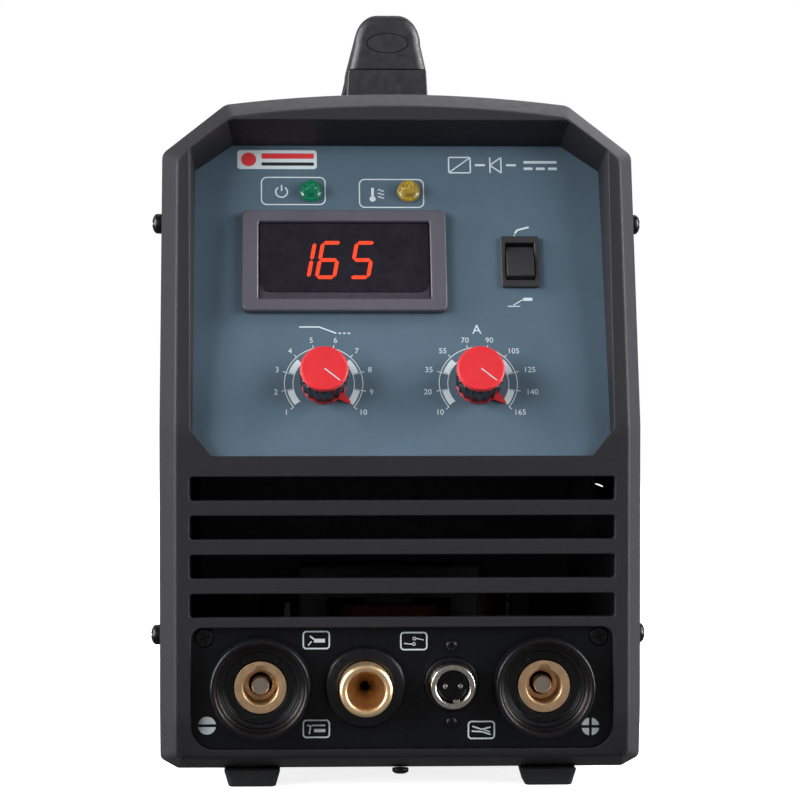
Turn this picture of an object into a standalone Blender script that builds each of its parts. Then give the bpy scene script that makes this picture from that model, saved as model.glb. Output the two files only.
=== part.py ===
"""A portable TIG welding machine, as an assembly of its separate pieces.

Metres. +X is the machine's right as its operator faces it, the front faces -Y, +Z is up,
and the origin is on the ground under the middle of the machine.
"""

import math

import bmesh
import bpy
from mathutils import Matrix, Vector

# ---------------------------------------------------------------- driving dimensions
WIDTH = 0.1686  # across the bezels at their widest
BODY_LENGTH = 0.345  # front face to rear face
FRONT_REACH = 0.009  # how far the torch fitting stands out in front of the front face
REAR_REACH = 0.018  # how far the gas inlet stands out behind the rear face
FRONT_Y = FRONT_REACH - (BODY_LENGTH + FRONT_REACH + REAR_REACH) / 2
REAR_Y = FRONT_Y + BODY_LENGTH
GAP = 0.0003  # between pieces that touch
SAME_LEVEL = 0.00001

# Case outline, seen from the front
BOTTOM_Z = 0.0063
SHOULDER_Z = 0.2233  # where the side turns into the sloping shoulder
SHOULDER_X = 0.0618  # where the shoulder turns into the top
TOP_EDGE_Z = 0.2414
CROWN = 0.0040  # rise of the top between the shoulders
TOE = (0.0062, 0.0036)  # the bottom corner's slope, across and up
COVER_TOP_Z = 0.2377
LOUVRE_DEPTHS = (0.112, 0.240)  # where each group starts, behind the front face
LOUVRE_LENGTH = 0.036
LOUVRE_HEIGHT = 0.0042
LOUVRE_PITCH = 0.012
LOUVRES = 6
FIRST_LOUVRE_Z = 0.100
COVER_INSET = 0.0015
SHEET = 0.0010
CAVITY_INSET = COVER_INSET + SHEET + GAP + 0.0024  # the tongues' wall is 2.4 mm
BASE_Z = BOTTOM_Z + CAVITY_INSET + GAP
BASE_HALF = 0.0720
BASE_SHEET = 0.0012
FLOOR_Z = BASE_Z + BASE_SHEET + GAP

# Front face, seen from the side
KINK_Z = 0.1270  # the face leans back above this height
LEAN = math.radians(16.5)
TUCK_Z = 0.0262  # and tucks in a little below this one
TUCK = math.radians(12)
KINK_BLEND = 0.004
FLARE = 0.0056  # the face is this much smaller all round than the case
FLARE_DEPTH = 0.016
BEZEL_DEPTH = 0.066
REAR_BEZEL_DEPTH = 0.040
SPIGOT = 0.008  # length of the tongue that slides under the cover
FRONT_WALL = 0.0047
WALL = 0.0030

# Control panel
PANEL_TILT = math.radians(23)
PANEL_FOOT_Z = 0.1154
PANEL_SETBACK = 0.0035
PANEL_HALF = 0.0724
PANEL_HEIGHT = 0.1207
PANEL_SHEET = 0.0020
PANEL_FOOT_CHAMFER = (0.0072, 0.0086)
PANEL_HEAD_CHAMFER = (0.0135, 0.0103)
PANEL_MARGIN = 0.0030
OPENING_DRAFT = 0.0026

KNOB_X = 0.02705
KNOB_V = 0.0282
KNOB_HEIGHT = 0.0145
KNOB_RADIUS = 0.0087
KNOB_CAP_RADIUS = 0.0083
KNOB_FLUTES = 18
POINTER_REACH = 0.0124
POINTER_ANGLE = math.radians(-130)  # from straight up, anticlockwise positive
SHAFT_RADIUS = 0.0030

METER_CENTRE = (-0.0194, 0.0744)
METER_SIZE = (0.0725, 0.0393)
METER_WINDOW = (0.0609, 0.0300)
METER_PROUD = 0.0032

LAMP_RADIUS = 0.0041
LAMP_V = 0.1024
POWER_LAMP_X = -0.0312
ALARM_LAMP_X = 0.0039

MODE_SWITCH = (0.0431, 0.0745)
MODE_SWITCH_SIZE = (0.0136, 0.0197)
ROCKER_TRAVEL = math.radians(22)

# Vents and output panel
SLOT_HALF = 0.0735
SLOT_HEIGHT = 0.0082
SLOT_PITCH = 0.01345
FIRST_SLOT_Z = 0.0650
SLOTS = 4
RECESS_HALF = 0.0730
RECESS_Z = (0.0150, 0.0574)
RECESS_CORNERS = (0.0083, 0.0083, 0.0041, 0.0041)
OUTPUT_DEPTH = 0.0050
OUTPUT_SHEET = 0.0025
OUTPUT_SCREW = (0.0685, 0.0536)

SOCKET_X = 0.04915
SOCKET_Z = 0.0365
SOCKET_RADIUS = 0.0173
SOCKET_MOUTH = 0.0151
SOCKET_PROUD = 0.0085
CONTACT_RADIUS = 0.0091
CONTACT_BORE = 0.0057
TORCH_X = -0.0129
TORCH_FLANGE_RADIUS = 0.0141
TORCH_RADIUS = 0.0091
CONTROL_SOCKET = (0.0171, 0.0373)
CONTROL_SHELL_RADIUS = 0.0078
FLANGE_SCREW_REACH = 0.01335

# Handle
HANDLE_FRONT = 0.138  # behind the front face
HANDLE_LENGTH = 0.164
HANDLE_HALF = 0.0152  # at the split; the sides close in above it
HANDLE_SHOULDER = (0.0130, 0.2724)
HANDLE_FLAT = 0.0040
HANDLE_FOOT_HALF = 0.0166
HANDLE_ROUNDING = 0.0035
HANDLE_TOP_Z = 0.2840
HANDLE_SPLIT_Z = 0.2628
HANDLE_LEG = 0.027
GRIP_UNDER_Z = 0.2585

# Rear
FAN_Z = 0.0900
FAN_SIDE = 0.0920
FAN_DEPTH = 0.0250
GRILLE_RADIUS = 0.0420
GRILLE_ROWS = 9
GRILLE_RIB = 0.0028
GRILLE_RIB_X = 0.0150
FAN_BLADES = 7
POWER_SWITCH = (0.0380, 0.1800)
POWER_SWITCH_SIZE = (0.0300, 0.0220)
GLAND = (-0.0380, 0.1800)
GAS_INLET = (-0.0560, 0.0360)
EARTH_BOLT = (0.0560, 0.0330)

FOOT_X = 0.0521
FOOT_SETBACK = 0.0255
FOOT_SIDE = 0.0198
FOOT_CORNER = 0.0022
FOOT_TAPER = 0.83
SIDE_SCREW_DEPTHS = (0.0340, 0.0500)  # lower and upper pair, behind the front face
UNDERSIDE_SCREW_DEPTH = 0.0200
SIDE_SCREW_Z = (0.0520, 0.1985)
SIDE_SCREW_PROUD = 0.0038

# ---------------------------------------------------------------- finishes
FINISHES = {
    "case_plastic": ((0.030, 0.029, 0.032), 0.62, 0.0),
    "panel_paint": ((0.085, 0.128, 0.170), 0.45, 0.0),
    "output_plate": ((0.007, 0.008, 0.010), 0.35, 0.0),
    "cover_paint": ((0.022, 0.022, 0.024), 0.50, 0.2),
    "zinc_sheet": ((0.55, 0.56, 0.57), 0.40, 0.9),
    "black_plastic": ((0.010, 0.010, 0.011), 0.35, 0.0),
    "meter_plastic": ((0.095, 0.088, 0.105), 0.45, 0.0),
    "smoked_lens": ((0.020, 0.016, 0.022), 0.10, 0.0),
    "module_black": ((0.012, 0.012, 0.012), 0.50, 0.0),
    "lamp_green": ((0.000, 0.230, 0.095), 0.15, 0.0),
    "lamp_amber": ((0.380, 0.290, 0.060), 0.15, 0.0),
    "knob_red": ((0.760, 0.035, 0.045), 0.35, 0.0),
    "brass": ((0.620, 0.400, 0.170), 0.28, 1.0),
    "nickel": ((0.620, 0.590, 0.550), 0.25, 1.0),
    "rubber": ((0.014, 0.015, 0.016), 0.80, 0.0),
    "black_screw": ((0.020, 0.020, 0.021), 0.40, 0.6),
    "aluminium": ((0.700, 0.710, 0.720), 0.35, 1.0),
    "circuit_board": ((0.020, 0.160, 0.060), 0.50, 0.0),
    "ferrite": ((0.060, 0.058, 0.058), 0.60, 0.0),
    "copper_winding": ((0.550, 0.220, 0.080), 0.35, 0.9),
    "capacitor_sleeve": ((0.020, 0.030, 0.070), 0.40, 0.0),
    "hose": ((0.050, 0.200, 0.400), 0.45, 0.0),
}


# ---------------------------------------------------------------- frames of reference
def frame_of(across, up, out, origin):
    """A frame whose axes run across, up and out of a face, from a point on it."""
    matrix = Matrix((across, up, out)).transposed().to_4x4()
    matrix.translation = origin
    return matrix


FRONT = frame_of((1, 0, 0), (0, 0, 1), (0, -1, 0), (0, FRONT_Y, 0))
REAR = frame_of((-1, 0, 0), (0, 0, 1), (0, 1, 0), (0, REAR_Y, 0))
RIGHT = frame_of((0, 1, 0), (0, 0, 1), (1, 0, 0), (0, 0, 0))
LEFT = frame_of((0, -1, 0), (0, 0, 1), (-1, 0, 0), (0, 0, 0))
GROUND = Matrix.Identity(4)
PANEL = frame_of(
    (1, 0, 0),
    (0, math.sin(PANEL_TILT), math.cos(PANEL_TILT)),
    (0, -math.cos(PANEL_TILT), math.sin(PANEL_TILT)),
    (0, FRONT_Y + PANEL_SETBACK, PANEL_FOOT_Z),
)


def at(frame, x, v, out=0.0):
    """The same frame moved to a place on its face."""
    return frame @ Matrix.Translation((x, v, out))


# ---------------------------------------------------------------- scene and helpers
def clear_scene():
    for obj in list(bpy.data.objects):
        bpy.data.objects.remove(obj, do_unlink=True)


def new_collection(name, hidden=False):
    collection = bpy.data.collections.new(name)
    bpy.context.scene.collection.children.link(collection)
    collection.hide_render = hidden
    return collection


clear_scene()
MACHINE = new_collection("tig_welding_machine")
CUTTERS = new_collection("cutters", hidden=True)


def material(finish):
    """The Principled material of one finish, made once."""
    found = bpy.data.materials.get(finish)
    if found:
        return found
    colour, roughness, metallic = FINISHES[finish]
    made = bpy.data.materials.new(finish)
    made.use_nodes = True
    shader = made.node_tree.nodes["Principled BSDF"]
    shader.inputs["Base Color"].default_value = (*colour, 1)
    shader.inputs["Roughness"].default_value = roughness
    shader.inputs["Metallic"].default_value = metallic
    made.diffuse_color = (*colour, 1)
    return made


def add(name, mesh, finish, place=GROUND):
    """Links a mesh as a sub-part, or as a cutter where it has no finish."""
    obj = bpy.data.objects.new(name, mesh)
    obj.matrix_world = place
    if finish:
        mesh.materials.append(material(finish))
        mesh.shade_smooth()
        mesh.set_sharp_from_angle(angle=math.radians(35))
        MACHINE.objects.link(obj)
    else:
        obj.hide_render = True
        obj.display_type = "WIRE"
        CUTTERS.objects.link(obj)
    return obj


def mesh_from(name, bm):
    bmesh.ops.recalc_face_normals(bm, faces=bm.faces)
    mesh = bpy.data.meshes.new(name)
    bm.to_mesh(mesh)
    bm.free()
    return mesh


def prism(name, outline, low, high, place, finish=None):
    """A flat outline made solid between two heights out of its face."""
    bm = bmesh.new()
    face = bm.faces.new([bm.verts.new((x, v, low)) for x, v in outline])
    made = bmesh.ops.extrude_face_region(bm, geom=[face])["geom"]
    moved = [item for item in made if isinstance(item, bmesh.types.BMVert)]
    bmesh.ops.translate(bm, verts=moved, vec=(0, 0, high - low))
    return add(name, mesh_from(name, bm), finish, place)


def loft(name, rings, place, finish=None):
    """A solid through rings of one count that each mirror left to right."""
    bm = bmesh.new()
    rows = [[bm.verts.new(point) for point in ring] for ring in rings]
    count = len(rows[0])
    for near, far in zip(rows, rows[1:]):
        for i in range(count):
            j = (i + 1) % count
            bm.faces.new((near[i], near[j], far[j], far[i]))
    for row in (rows[0], rows[-1]):
        cap_in_strips(bm, row)
    return add(name, mesh_from(name, bm), finish, place)


def cap_in_strips(bm, row):
    """Closes a mirrored ring with level strips, so that a bend across it stays straight."""
    count, top = len(row), len(row) // 2
    cuts = [0]
    for i in range(1, top):
        if row[i].co.y - row[cuts[-1]].co.y > SAME_LEVEL < row[top].co.y - row[i].co.y:
            cuts.append(i)
    for low, high in zip(cuts, [*cuts[1:], top]):
        left = [row[(count - i) % count] for i in range(high, low - 1, -1)]
        bm.faces.new(list(dict.fromkeys(row[low : high + 1] + left)))


def block(name, low, high, place=GROUND, finish=None, bevel=0.0):
    """A box between two corners, with its edges rounded where a bevel is given."""
    bm = bmesh.new()
    bmesh.ops.create_cube(bm, size=1.0)
    size = Vector(high) - Vector(low)
    middle = (Vector(high) + Vector(low)) / 2
    bmesh.ops.scale(bm, verts=bm.verts, vec=size)
    bmesh.ops.translate(bm, verts=bm.verts, vec=middle)
    obj = add(name, mesh_from(name, bm), finish, place)
    if bevel:
        round_edges(obj, bevel)
    return obj


def turned(name, profile, place, finish=None, steps=24, ring=False):
    """A profile of (radius, height) turned about the face's outward axis."""
    edges = [(i, i + 1) for i in range(len(profile) - 1)]
    if ring:
        edges.append((len(profile) - 1, 0))
    mesh = bpy.data.meshes.new(name)
    mesh.from_pydata([(radius, 0, height) for radius, height in profile], edges, [])
    obj = add(name, mesh, finish, place)
    screw = obj.modifiers.new("turn", "SCREW")
    screw.steps = screw.render_steps = steps
    screw.use_merge_vertices = True
    screw.merge_threshold = 0.00001
    screw.use_smooth_shade = True
    return obj


def tube(name, points, radius, finish, smooth=6):
    """A round tube along a smooth curve through the given points."""
    curve = bpy.data.curves.new(name, "CURVE")
    curve.dimensions = "3D"
    curve.bevel_depth = radius
    curve.bevel_resolution = 2
    curve.use_fill_caps = True
    route = through(points, smooth)
    spline = curve.splines.new("POLY")
    spline.points.add(len(route) - 1)
    for target, point in zip(spline.points, route):
        target.co = (*point, 1)
    curve.materials.append(material(finish))
    obj = bpy.data.objects.new(name, curve)
    MACHINE.objects.link(obj)
    return obj


def through(points, smooth):
    """Points on a Catmull-Rom curve through the given ones."""
    ends = [Vector(p) for p in points]
    ends = [ends[0] * 2 - ends[1], *ends, ends[-1] * 2 - ends[-2]]
    route = []
    for a, b, c, d in zip(ends, ends[1:], ends[2:], ends[3:]):
        for step in range(smooth):
            t = step / smooth
            route.append(
                b + (c - a) * (t / 2) + (a * 2 - b * 5 + c * 4 - d) * (t * t / 2)
                + (b * 3 - a - c * 3 + d) * (t**3 / 2)
            )
    return [*route, ends[-2]]


def cut(target, *cutters):
    for cutter in cutters:
        modifier = target.modifiers.new("cut", "BOOLEAN")
        modifier.operation = "DIFFERENCE"
        modifier.object = cutter


def join(target, other):
    """Unites a hidden helper solid with a sub-part."""
    modifier = target.modifiers.new("join", "BOOLEAN")
    modifier.operation = "UNION"
    modifier.object = other


def round_edges(obj, width, segments=2, angle=40):
    bevel = obj.modifiers.new("rounded", "BEVEL")
    bevel.width = width
    bevel.segments = segments
    bevel.limit_method = "ANGLE"
    bevel.angle_limit = math.radians(angle)


# ---------------------------------------------------------------- outlines
def fillet(before, corner, after, radius, steps=3):
    """Points of the arc that rounds one corner of an outline."""
    corner = Vector(corner)
    to_before = (Vector(before) - corner).normalized()
    to_after = (Vector(after) - corner).normalized()
    half = to_before.angle(to_after) / 2
    middle = corner + (to_before + to_after).normalized() * radius / math.sin(half)
    start = corner + to_before * radius / math.tan(half) - middle
    end = corner + to_after * radius / math.tan(half) - middle
    turn = start.angle_signed(end)
    points = []
    for i in range(steps + 1):
        spin = Matrix.Rotation(-turn * i / steps, 2)
        points.append(tuple(middle + spin @ start))
    return points


def rounded(corners, radii, steps=3):
    """A closed outline with each corner rounded by its own radius."""
    points = []
    for i, corner in enumerate(corners):
        before, after = corners[i - 1], corners[(i + 1) % len(corners)]
        points += fillet(before, corner, after, radii[i], steps) if radii[i] else [corner]
    return points


def rectangle(half_x, low, high):
    return [(-half_x, low), (half_x, low), (half_x, high), (-half_x, high)]


def rounded_rectangle(width, height, radius, centre=(0, 0), steps=3):
    x, v = centre
    corners = [(x + cx, v + cv) for cx, cv in rectangle(width / 2, -height / 2, height / 2)]
    return rounded(corners, [radius] * 4, steps)


def circle(radius, steps, centre=(0, 0)):
    x, v = centre
    turns = [2 * math.pi * i / steps for i in range(steps)]
    return [(x + radius * math.cos(t), v + radius * math.sin(t)) for t in turns]


def shrink(chain, inset):
    """An open chain of corners moved in to its left by the inset, mitred."""
    points = [Vector(p) for p in chain]
    sides = [(b - a).normalized() for a, b in zip(points, points[1:])]
    normals = [Vector((-side.y, side.x)) for side in sides]
    moved = [points[0] + normals[0] * inset]
    for point, first, second in zip(points[1:-1], normals, normals[1:]):
        moved.append(point + (first + second) * inset / (1 + first.dot(second)))
    moved.append(points[-1] + normals[-1] * inset)
    return [tuple(p) for p in moved]


LEVELS = (
    TUCK_Z - 0.003,
    TUCK_Z + 0.003,
    PANEL_FOOT_Z - 0.002,
    KINK_Z - KINK_BLEND,
    KINK_Z,
    KINK_Z + KINK_BLEND,
)


def hood(inset=0.0, top=TOP_EDGE_Z, crown=CROWN):
    """The case's outline, from the bottom's middle round to the left and back, inset."""
    drop = TOP_EDGE_Z - top
    half = WIDTH / 2
    chain = [
        (0, BOTTOM_Z),
        (half - TOE[0], BOTTOM_Z),
        (half, BOTTOM_Z + TOE[1]),
        (half, SHOULDER_Z - drop * 0.6),
        (SHOULDER_X, top),
        (0, top),
    ]
    middle, toe, heel, shoulder, ridge, peak = shrink(chain, inset)
    right = [middle]
    right += fillet(middle, toe, heel, 0.0020, 1)
    right += fillet(toe, heel, shoulder, 0.0025, 2)
    right += [(heel[0], level) for level in LEVELS]
    right += fillet(heel, shoulder, ridge, 0.0040, 2)
    right += fillet(shoulder, ridge, peak, 0.0040, 2)
    right += [(ridge[0] * share, peak[1]) for share in (0.8, 0.55, 0.28, 0)]
    right = [
        (x, v + crown * max(0.0, 1 - (x / ridge[0]) ** 2) * (v > KINK_Z)) for x, v in right
    ]
    return right + [(-x, v) for x, v in reversed(right[1:-1])]


def lean(z):
    """How far the front face lies behind its foremost plane at a height."""
    above = z - KINK_Z
    slope = math.tan(LEAN)
    if above > KINK_BLEND:
        return above * slope
    if above > -KINK_BLEND:
        return (above + KINK_BLEND) ** 2 / (4 * KINK_BLEND) * slope
    return max(0.0, TUCK_Z - z) * math.tan(TUCK)


def panel_depth(z):
    """How far the control panel's plane lies behind the foremost plane."""
    return PANEL_SETBACK + (z - PANEL_FOOT_Z) * math.tan(PANEL_TILT)


def face_ring(outline, depth):
    """An outline behind the front face, by a depth that may vary with height."""
    return [(x, z, -depth(z) if callable(depth) else -depth) for x, z in outline]


def panel_outline(margin=0.0, draft=0.0):
    """The control panel's outline: a rectangle with its four corners cut off."""
    x = PANEL_HALF + margin + draft
    low, high = -margin - draft * 0.15, PANEL_HEIGHT + margin
    foot_x, foot_v = PANEL_FOOT_CHAMFER
    head_x, head_v = PANEL_HEAD_CHAMFER
    right = [
        (0, low), (x - foot_x, low), (x, low + foot_v),
        (x, high - head_v), (x - head_x, high), (0, high),
    ]
    return right + [(-a, b) for a, b in reversed(right[1:-1])]


# ---------------------------------------------------------------- casing
def cavity(name, low, high, top=COVER_TOP_Z - 0.0030):
    inside = hood(CAVITY_INSET, top, 0.0)
    return loft(name, [face_ring(inside, low), face_ring(inside, high)], FRONT)


def spigot_ring(depth):
    return face_ring(hood(COVER_INSET + SHEET + GAP, COVER_TOP_Z - SHEET - GAP, 0.0), depth)


def front_bezel():
    shell = loft(
        "front_bezel",
        [
            face_ring(hood(FLARE), lean),
            face_ring(hood(0.0), lambda z: lean(z) + FLARE_DEPTH),
            face_ring(hood(0.0), BEZEL_DEPTH),
            spigot_ring(BEZEL_DEPTH),
            spigot_ring(BEZEL_DEPTH + SPIGOT),
        ],
        FRONT,
        "case_plastic",
    )
    behind = PANEL_SHEET + 0.0007
    hollow = cavity(
        "bezel_cavity",
        lambda z: max(FRONT_WALL, panel_depth(z) + behind),
        BEZEL_DEPTH + SPIGOT + 0.002,
    )
    window = loft(
        "panel_window",
        [
            [(x, v, -0.001) for x, v in panel_outline()],
            [(x, v, 0.030) for x, v in panel_outline(draft=OPENING_DRAFT)],
        ],
        PANEL,
    )
    seat = prism("panel_seat", panel_outline(PANEL_MARGIN + 0.0004), -0.0045, GAP, PANEL)
    recess = prism(
        "output_recess",
        rounded(rectangle(RECESS_HALF, *RECESS_Z), RECESS_CORNERS, 4),
        -OUTPUT_DEPTH - 0.001, 0.004, FRONT,
    )
    cut(shell, hollow, seat, window, recess)
    for i in range(SLOTS):
        z = FIRST_SLOT_Z + i * SLOT_PITCH
        slot = rounded_rectangle(SLOT_HALF * 2, SLOT_HEIGHT, 0.0010, (0, z), 1)
        cut(shell, prism(f"vent_slot_{i + 1}", slot, -FRONT_WALL - 0.002, 0.004, FRONT))
    screw_bores(shell)


def screw_bores(shell):
    """Clearance holes for the side screws."""
    for depth, z in zip(SIDE_SCREW_DEPTHS, SIDE_SCREW_Z):
        for side, place in (("right", RIGHT), ("left", LEFT)):
            x = (FRONT_Y + depth) * (1 if side == "right" else -1)
            hole = prism(
                f"bore_{side}_{round(z * 1000)}", circle(0.0021, 10),
                WIDTH / 2 - 0.010, WIDTH / 2 + 0.002, at(place, x, z),
            )
            cut(shell, hole)


def rear_bezel():
    start = BODY_LENGTH - REAR_BEZEL_DEPTH
    shell = loft(
        "rear_bezel",
        [
            spigot_ring(start - SPIGOT),
            spigot_ring(start),
            face_ring(hood(0.0), start),
            face_ring(hood(0.0), BODY_LENGTH - FLARE_DEPTH / 2),
            face_ring(hood(FLARE), BODY_LENGTH),
        ],
        FRONT,
        "case_plastic",
    )
    cut(shell, cavity("rear_cavity", start - SPIGOT - 0.002, BODY_LENGTH - WALL))
    fan_grille(shell)
    width, height = POWER_SWITCH_SIZE
    switch = rounded_rectangle(width - 0.0034, height - 0.0034, 0.0005, POWER_SWITCH, 1)
    cut(shell, prism("power_switch_hole", switch, -WALL - 0.003, 0.003, REAR))
    for name, centre, radius in (
        ("gland_hole", GLAND, 0.0083),
        ("gas_inlet_hole", GAS_INLET, 0.0063),
        ("earth_bolt_hole", EARTH_BOLT, 0.0033),
    ):
        cut(shell, prism(name, circle(radius, 16, centre), -WALL - 0.003, 0.003, REAR))


def fan_grille(shell):
    """Rows of slots over the fan, held together by two upright ribs."""
    pitch = 2 * GRILLE_RADIUS / GRILLE_ROWS
    for row in range(GRILLE_ROWS):
        v = -GRILLE_RADIUS + pitch * (row + 0.5)
        half = math.sqrt(GRILLE_RADIUS**2 - v**2)
        low, high = FAN_Z + v - pitch / 2 + GRILLE_RIB / 2, FAN_Z + v + pitch / 2 - GRILLE_RIB / 2
        ribs = [rib for rib in (-GRILLE_RIB_X, GRILLE_RIB_X) if abs(rib) < half - GRILLE_RIB]
        starts = [-half, *(rib + GRILLE_RIB / 2 for rib in ribs)]
        ends = [*(rib - GRILLE_RIB / 2 for rib in ribs), half]
        for column, (left, right) in enumerate(zip(starts, ends)):
            slot = [(left, low), (right, low), (right, high), (left, high)]
            cut(shell, prism(f"grille_{row + 1}_{column + 1}", slot, -WALL - 0.003, 0.003, REAR))


def top_cover():
    """A folded sheet over the top and sides, its lower edges turned in under the base."""
    start = BEZEL_DEPTH + GAP
    end = BODY_LENGTH - REAR_BEZEL_DEPTH - GAP
    outer = hood(COVER_INSET, COVER_TOP_Z, 0.0)
    inside = hood(COVER_INSET + SHEET, COVER_TOP_Z - SHEET, 0.0)
    cover = loft(
        "top_cover", [face_ring(outer, start), face_ring(outer, end)], FRONT, "cover_paint"
    )
    cut(
        cover,
        loft(
            "cover_inside",
            [face_ring(inside, start - 0.002), face_ring(inside, end + 0.002)],
            FRONT,
        ),
        block(
            "cover_bottom_gap",
            (-0.062, FRONT_Y + start - 0.002, 0),
            (0.062, FRONT_Y + end + 0.002, BOTTOM_Z + 0.006),
        ),
    )
    for group, depth in enumerate(LOUVRE_DEPTHS):
        for i in range(LOUVRES):
            y, z = FRONT_Y + depth, FIRST_LOUVRE_Z + i * LOUVRE_PITCH
            high = (WIDTH, y + LOUVRE_LENGTH, z + LOUVRE_HEIGHT)
            cut(cover, block(f"louvre_{group + 1}_{i + 1}", (-WIDTH, y, z), high))


def base_plate():
    low, high = BASE_Z, BASE_Z + 0.016
    out, floor = BASE_HALF - BASE_SHEET, BASE_Z + BASE_SHEET
    edge = [
        (-BASE_HALF, low), (BASE_HALF, low), (BASE_HALF, high), (out, high),
        (out, floor), (-out, floor), (-out, high), (-BASE_HALF, high),
    ]
    prism("base_plate", edge, -BODY_LENGTH + 0.006, -0.0082, FRONT, "zinc_sheet")


def feet():
    """Square feet that taper downward, hollow underneath for their screws."""
    outline = rounded_rectangle(FOOT_SIDE, FOOT_SIDE, FOOT_CORNER)
    for end, y in (("front", FRONT_Y + FOOT_SETBACK), ("rear", REAR_Y - FOOT_SETBACK)):
        for side, x in (("left", -FOOT_X), ("right", FOOT_X)):
            place = Matrix.Translation((x, y, 0))
            foot = prism(f"foot_{end}_{side}", outline, 0, BOTTOM_Z - GAP, place, "rubber")
            for vertex in foot.data.vertices:
                if vertex.co.z < SAME_LEVEL:
                    vertex.co.x *= FOOT_TAPER
                    vertex.co.y *= FOOT_TAPER
            cut(foot, prism("foot_hollow", circle(0.0030, 12), -0.001, 0.0025, place))


def cross_head(name, place, finish, radius, height, stem_radius, stem, recess=0.0022):
    """A pan-headed screw with a cross recess; its seat is at height 0."""
    screw = turned(
        name,
        [
            (0, height), (radius * 0.72, height), (radius, height * 0.5), (radius, 0),
            (stem_radius, 0), (stem_radius, -stem), (0, -stem),
        ],
        place, finish, 14,
    )
    arm = recess * 0.22
    cross = [
        (arm, -recess), (arm, -arm), (recess, -arm), (recess, arm), (arm, arm), (arm, recess),
        (-arm, recess), (-arm, arm), (-recess, arm), (-recess, -arm), (-arm, -arm), (-arm, -recess),
    ]
    cut(screw, prism(f"{name}_cross", cross, height * 0.35, height + 0.002, place))


def side_screws():
    half = WIDTH / 2 + GAP
    for level, depth, z in zip(("lower", "upper"), SIDE_SCREW_DEPTHS, SIDE_SCREW_Z):
        for side, place, sign in (("left", LEFT, -1), ("right", RIGHT, 1)):
            where = at(place, (FRONT_Y + depth) * sign, z, half)
            cross_head(
                f"side_screw_{level}_{side}", where, "black_screw",
                0.0036, SIDE_SCREW_PROUD - GAP, 0.0018, 0.0045,
            )
    seat = (0, FRONT_Y + UNDERSIDE_SCREW_DEPTH, BOTTOM_Z - GAP)
    down = frame_of((1, 0, 0), (0, -1, 0), (0, 0, -1), seat)
    cross_head("underside_screw", down, "black_screw", 0.0029, 0.0021, 0.0014, -GAP, 0.0018)


# ---------------------------------------------------------------- handle
def handle_section(low, inset=0.0, steps=5):
    """Grip section: sides that close in upward, round shoulders and a flat top."""
    spring_x, spring_z = HANDLE_SHOULDER
    slope = (HANDLE_HALF - spring_x) / (spring_z - HANDLE_SPLIT_Z)
    right = [(spring_x + slope * (spring_z - low) - inset, low)]
    for i in range(steps + 1):
        turn = math.radians(90) * i / steps
        right.append(
            (
                HANDLE_FLAT + (spring_x - inset - HANDLE_FLAT) * math.cos(turn),
                spring_z + (HANDLE_TOP_Z - inset - spring_z) * math.sin(turn),
            )
        )
    return right + [(-x, z) for x, z in reversed(right)]


def handle():
    near, far = -HANDLE_FRONT, -HANDLE_FRONT - HANDLE_LENGTH
    low = HANDLE_SPLIT_Z + GAP / 2
    upper = prism("handle_upper", handle_section(low - 0.008), far, near, FRONT, "case_plastic")
    round_edges(upper, HANDLE_ROUNDING, 3, 50)
    cut(upper, block("handle_below", (-0.03, FRONT_Y, low - 0.02), (0.03, REAR_Y, low)))
    inside = handle_section(low - 0.001, 0.0026)
    cut(upper, prism("handle_hollow", inside, far + 0.0050, near - 0.0050, FRONT))
    badge = circle(1.0, 24)
    oval = [(x * 0.0083, HANDLE_SPLIT_Z + 0.0101 + v * 0.0040) for x, v in badge]
    cut(upper, prism("handle_oval", oval, near - 0.0009, near + 0.003, FRONT))

    base, top = COVER_TOP_Z + GAP, HANDLE_SPLIT_Z - GAP / 2
    foot, half = HANDLE_FOOT_HALF, HANDLE_HALF
    sides = [(-foot, base), (foot, base), (half, top), (-half, top)]
    lower = prism("handle_lower", sides, far, near, FRONT, "case_plastic")
    finger = rounded(
        [
            (far + HANDLE_LEG, base - 0.01), (near - HANDLE_LEG, base - 0.01),
            (near - HANDLE_LEG + 0.004, GRIP_UNDER_Z), (far + HANDLE_LEG - 0.004, GRIP_UNDER_Z),
        ],
        (0, 0, 0.008, 0.008), 4,
    )
    flipped = [(-y, z) for y, z in reversed(finger)]
    place = at(RIGHT, FRONT_Y, 0)
    cut(lower, prism("finger_gap", flipped, -0.03, 0.03, place))


# ---------------------------------------------------------------- control panel and what it carries
def control_panel():
    panel = prism(
        "control_panel", panel_outline(PANEL_MARGIN), -PANEL_SHEET, 0, PANEL, "panel_paint"
    )
    low, high = -PANEL_SHEET - 0.002, 0.002
    width, height = METER_SIZE
    meter = rounded_rectangle(width - 0.0050, height - 0.0050, 0.001, METER_CENTRE, 1)
    cut(panel, prism("meter_hole", meter, low, high, PANEL))
    width, height = MODE_SWITCH_SIZE
    switch = rounded_rectangle(width - 0.0014, height - 0.0024, 0.0004, MODE_SWITCH, 1)
    cut(panel, prism("mode_switch_hole", switch, low, high, PANEL))
    for name, radius, centre in (
        ("power_lamp_hole", 0.0031, (POWER_LAMP_X, LAMP_V)),
        ("alarm_lamp_hole", 0.0031, (ALARM_LAMP_X, LAMP_V)),
        ("left_knob_hole", 0.0040, (-KNOB_X, KNOB_V)),
        ("right_knob_hole", 0.0040, (KNOB_X, KNOB_V)),
    ):
        cut(panel, prism(name, circle(radius, 12, centre), low, high, PANEL))


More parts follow.
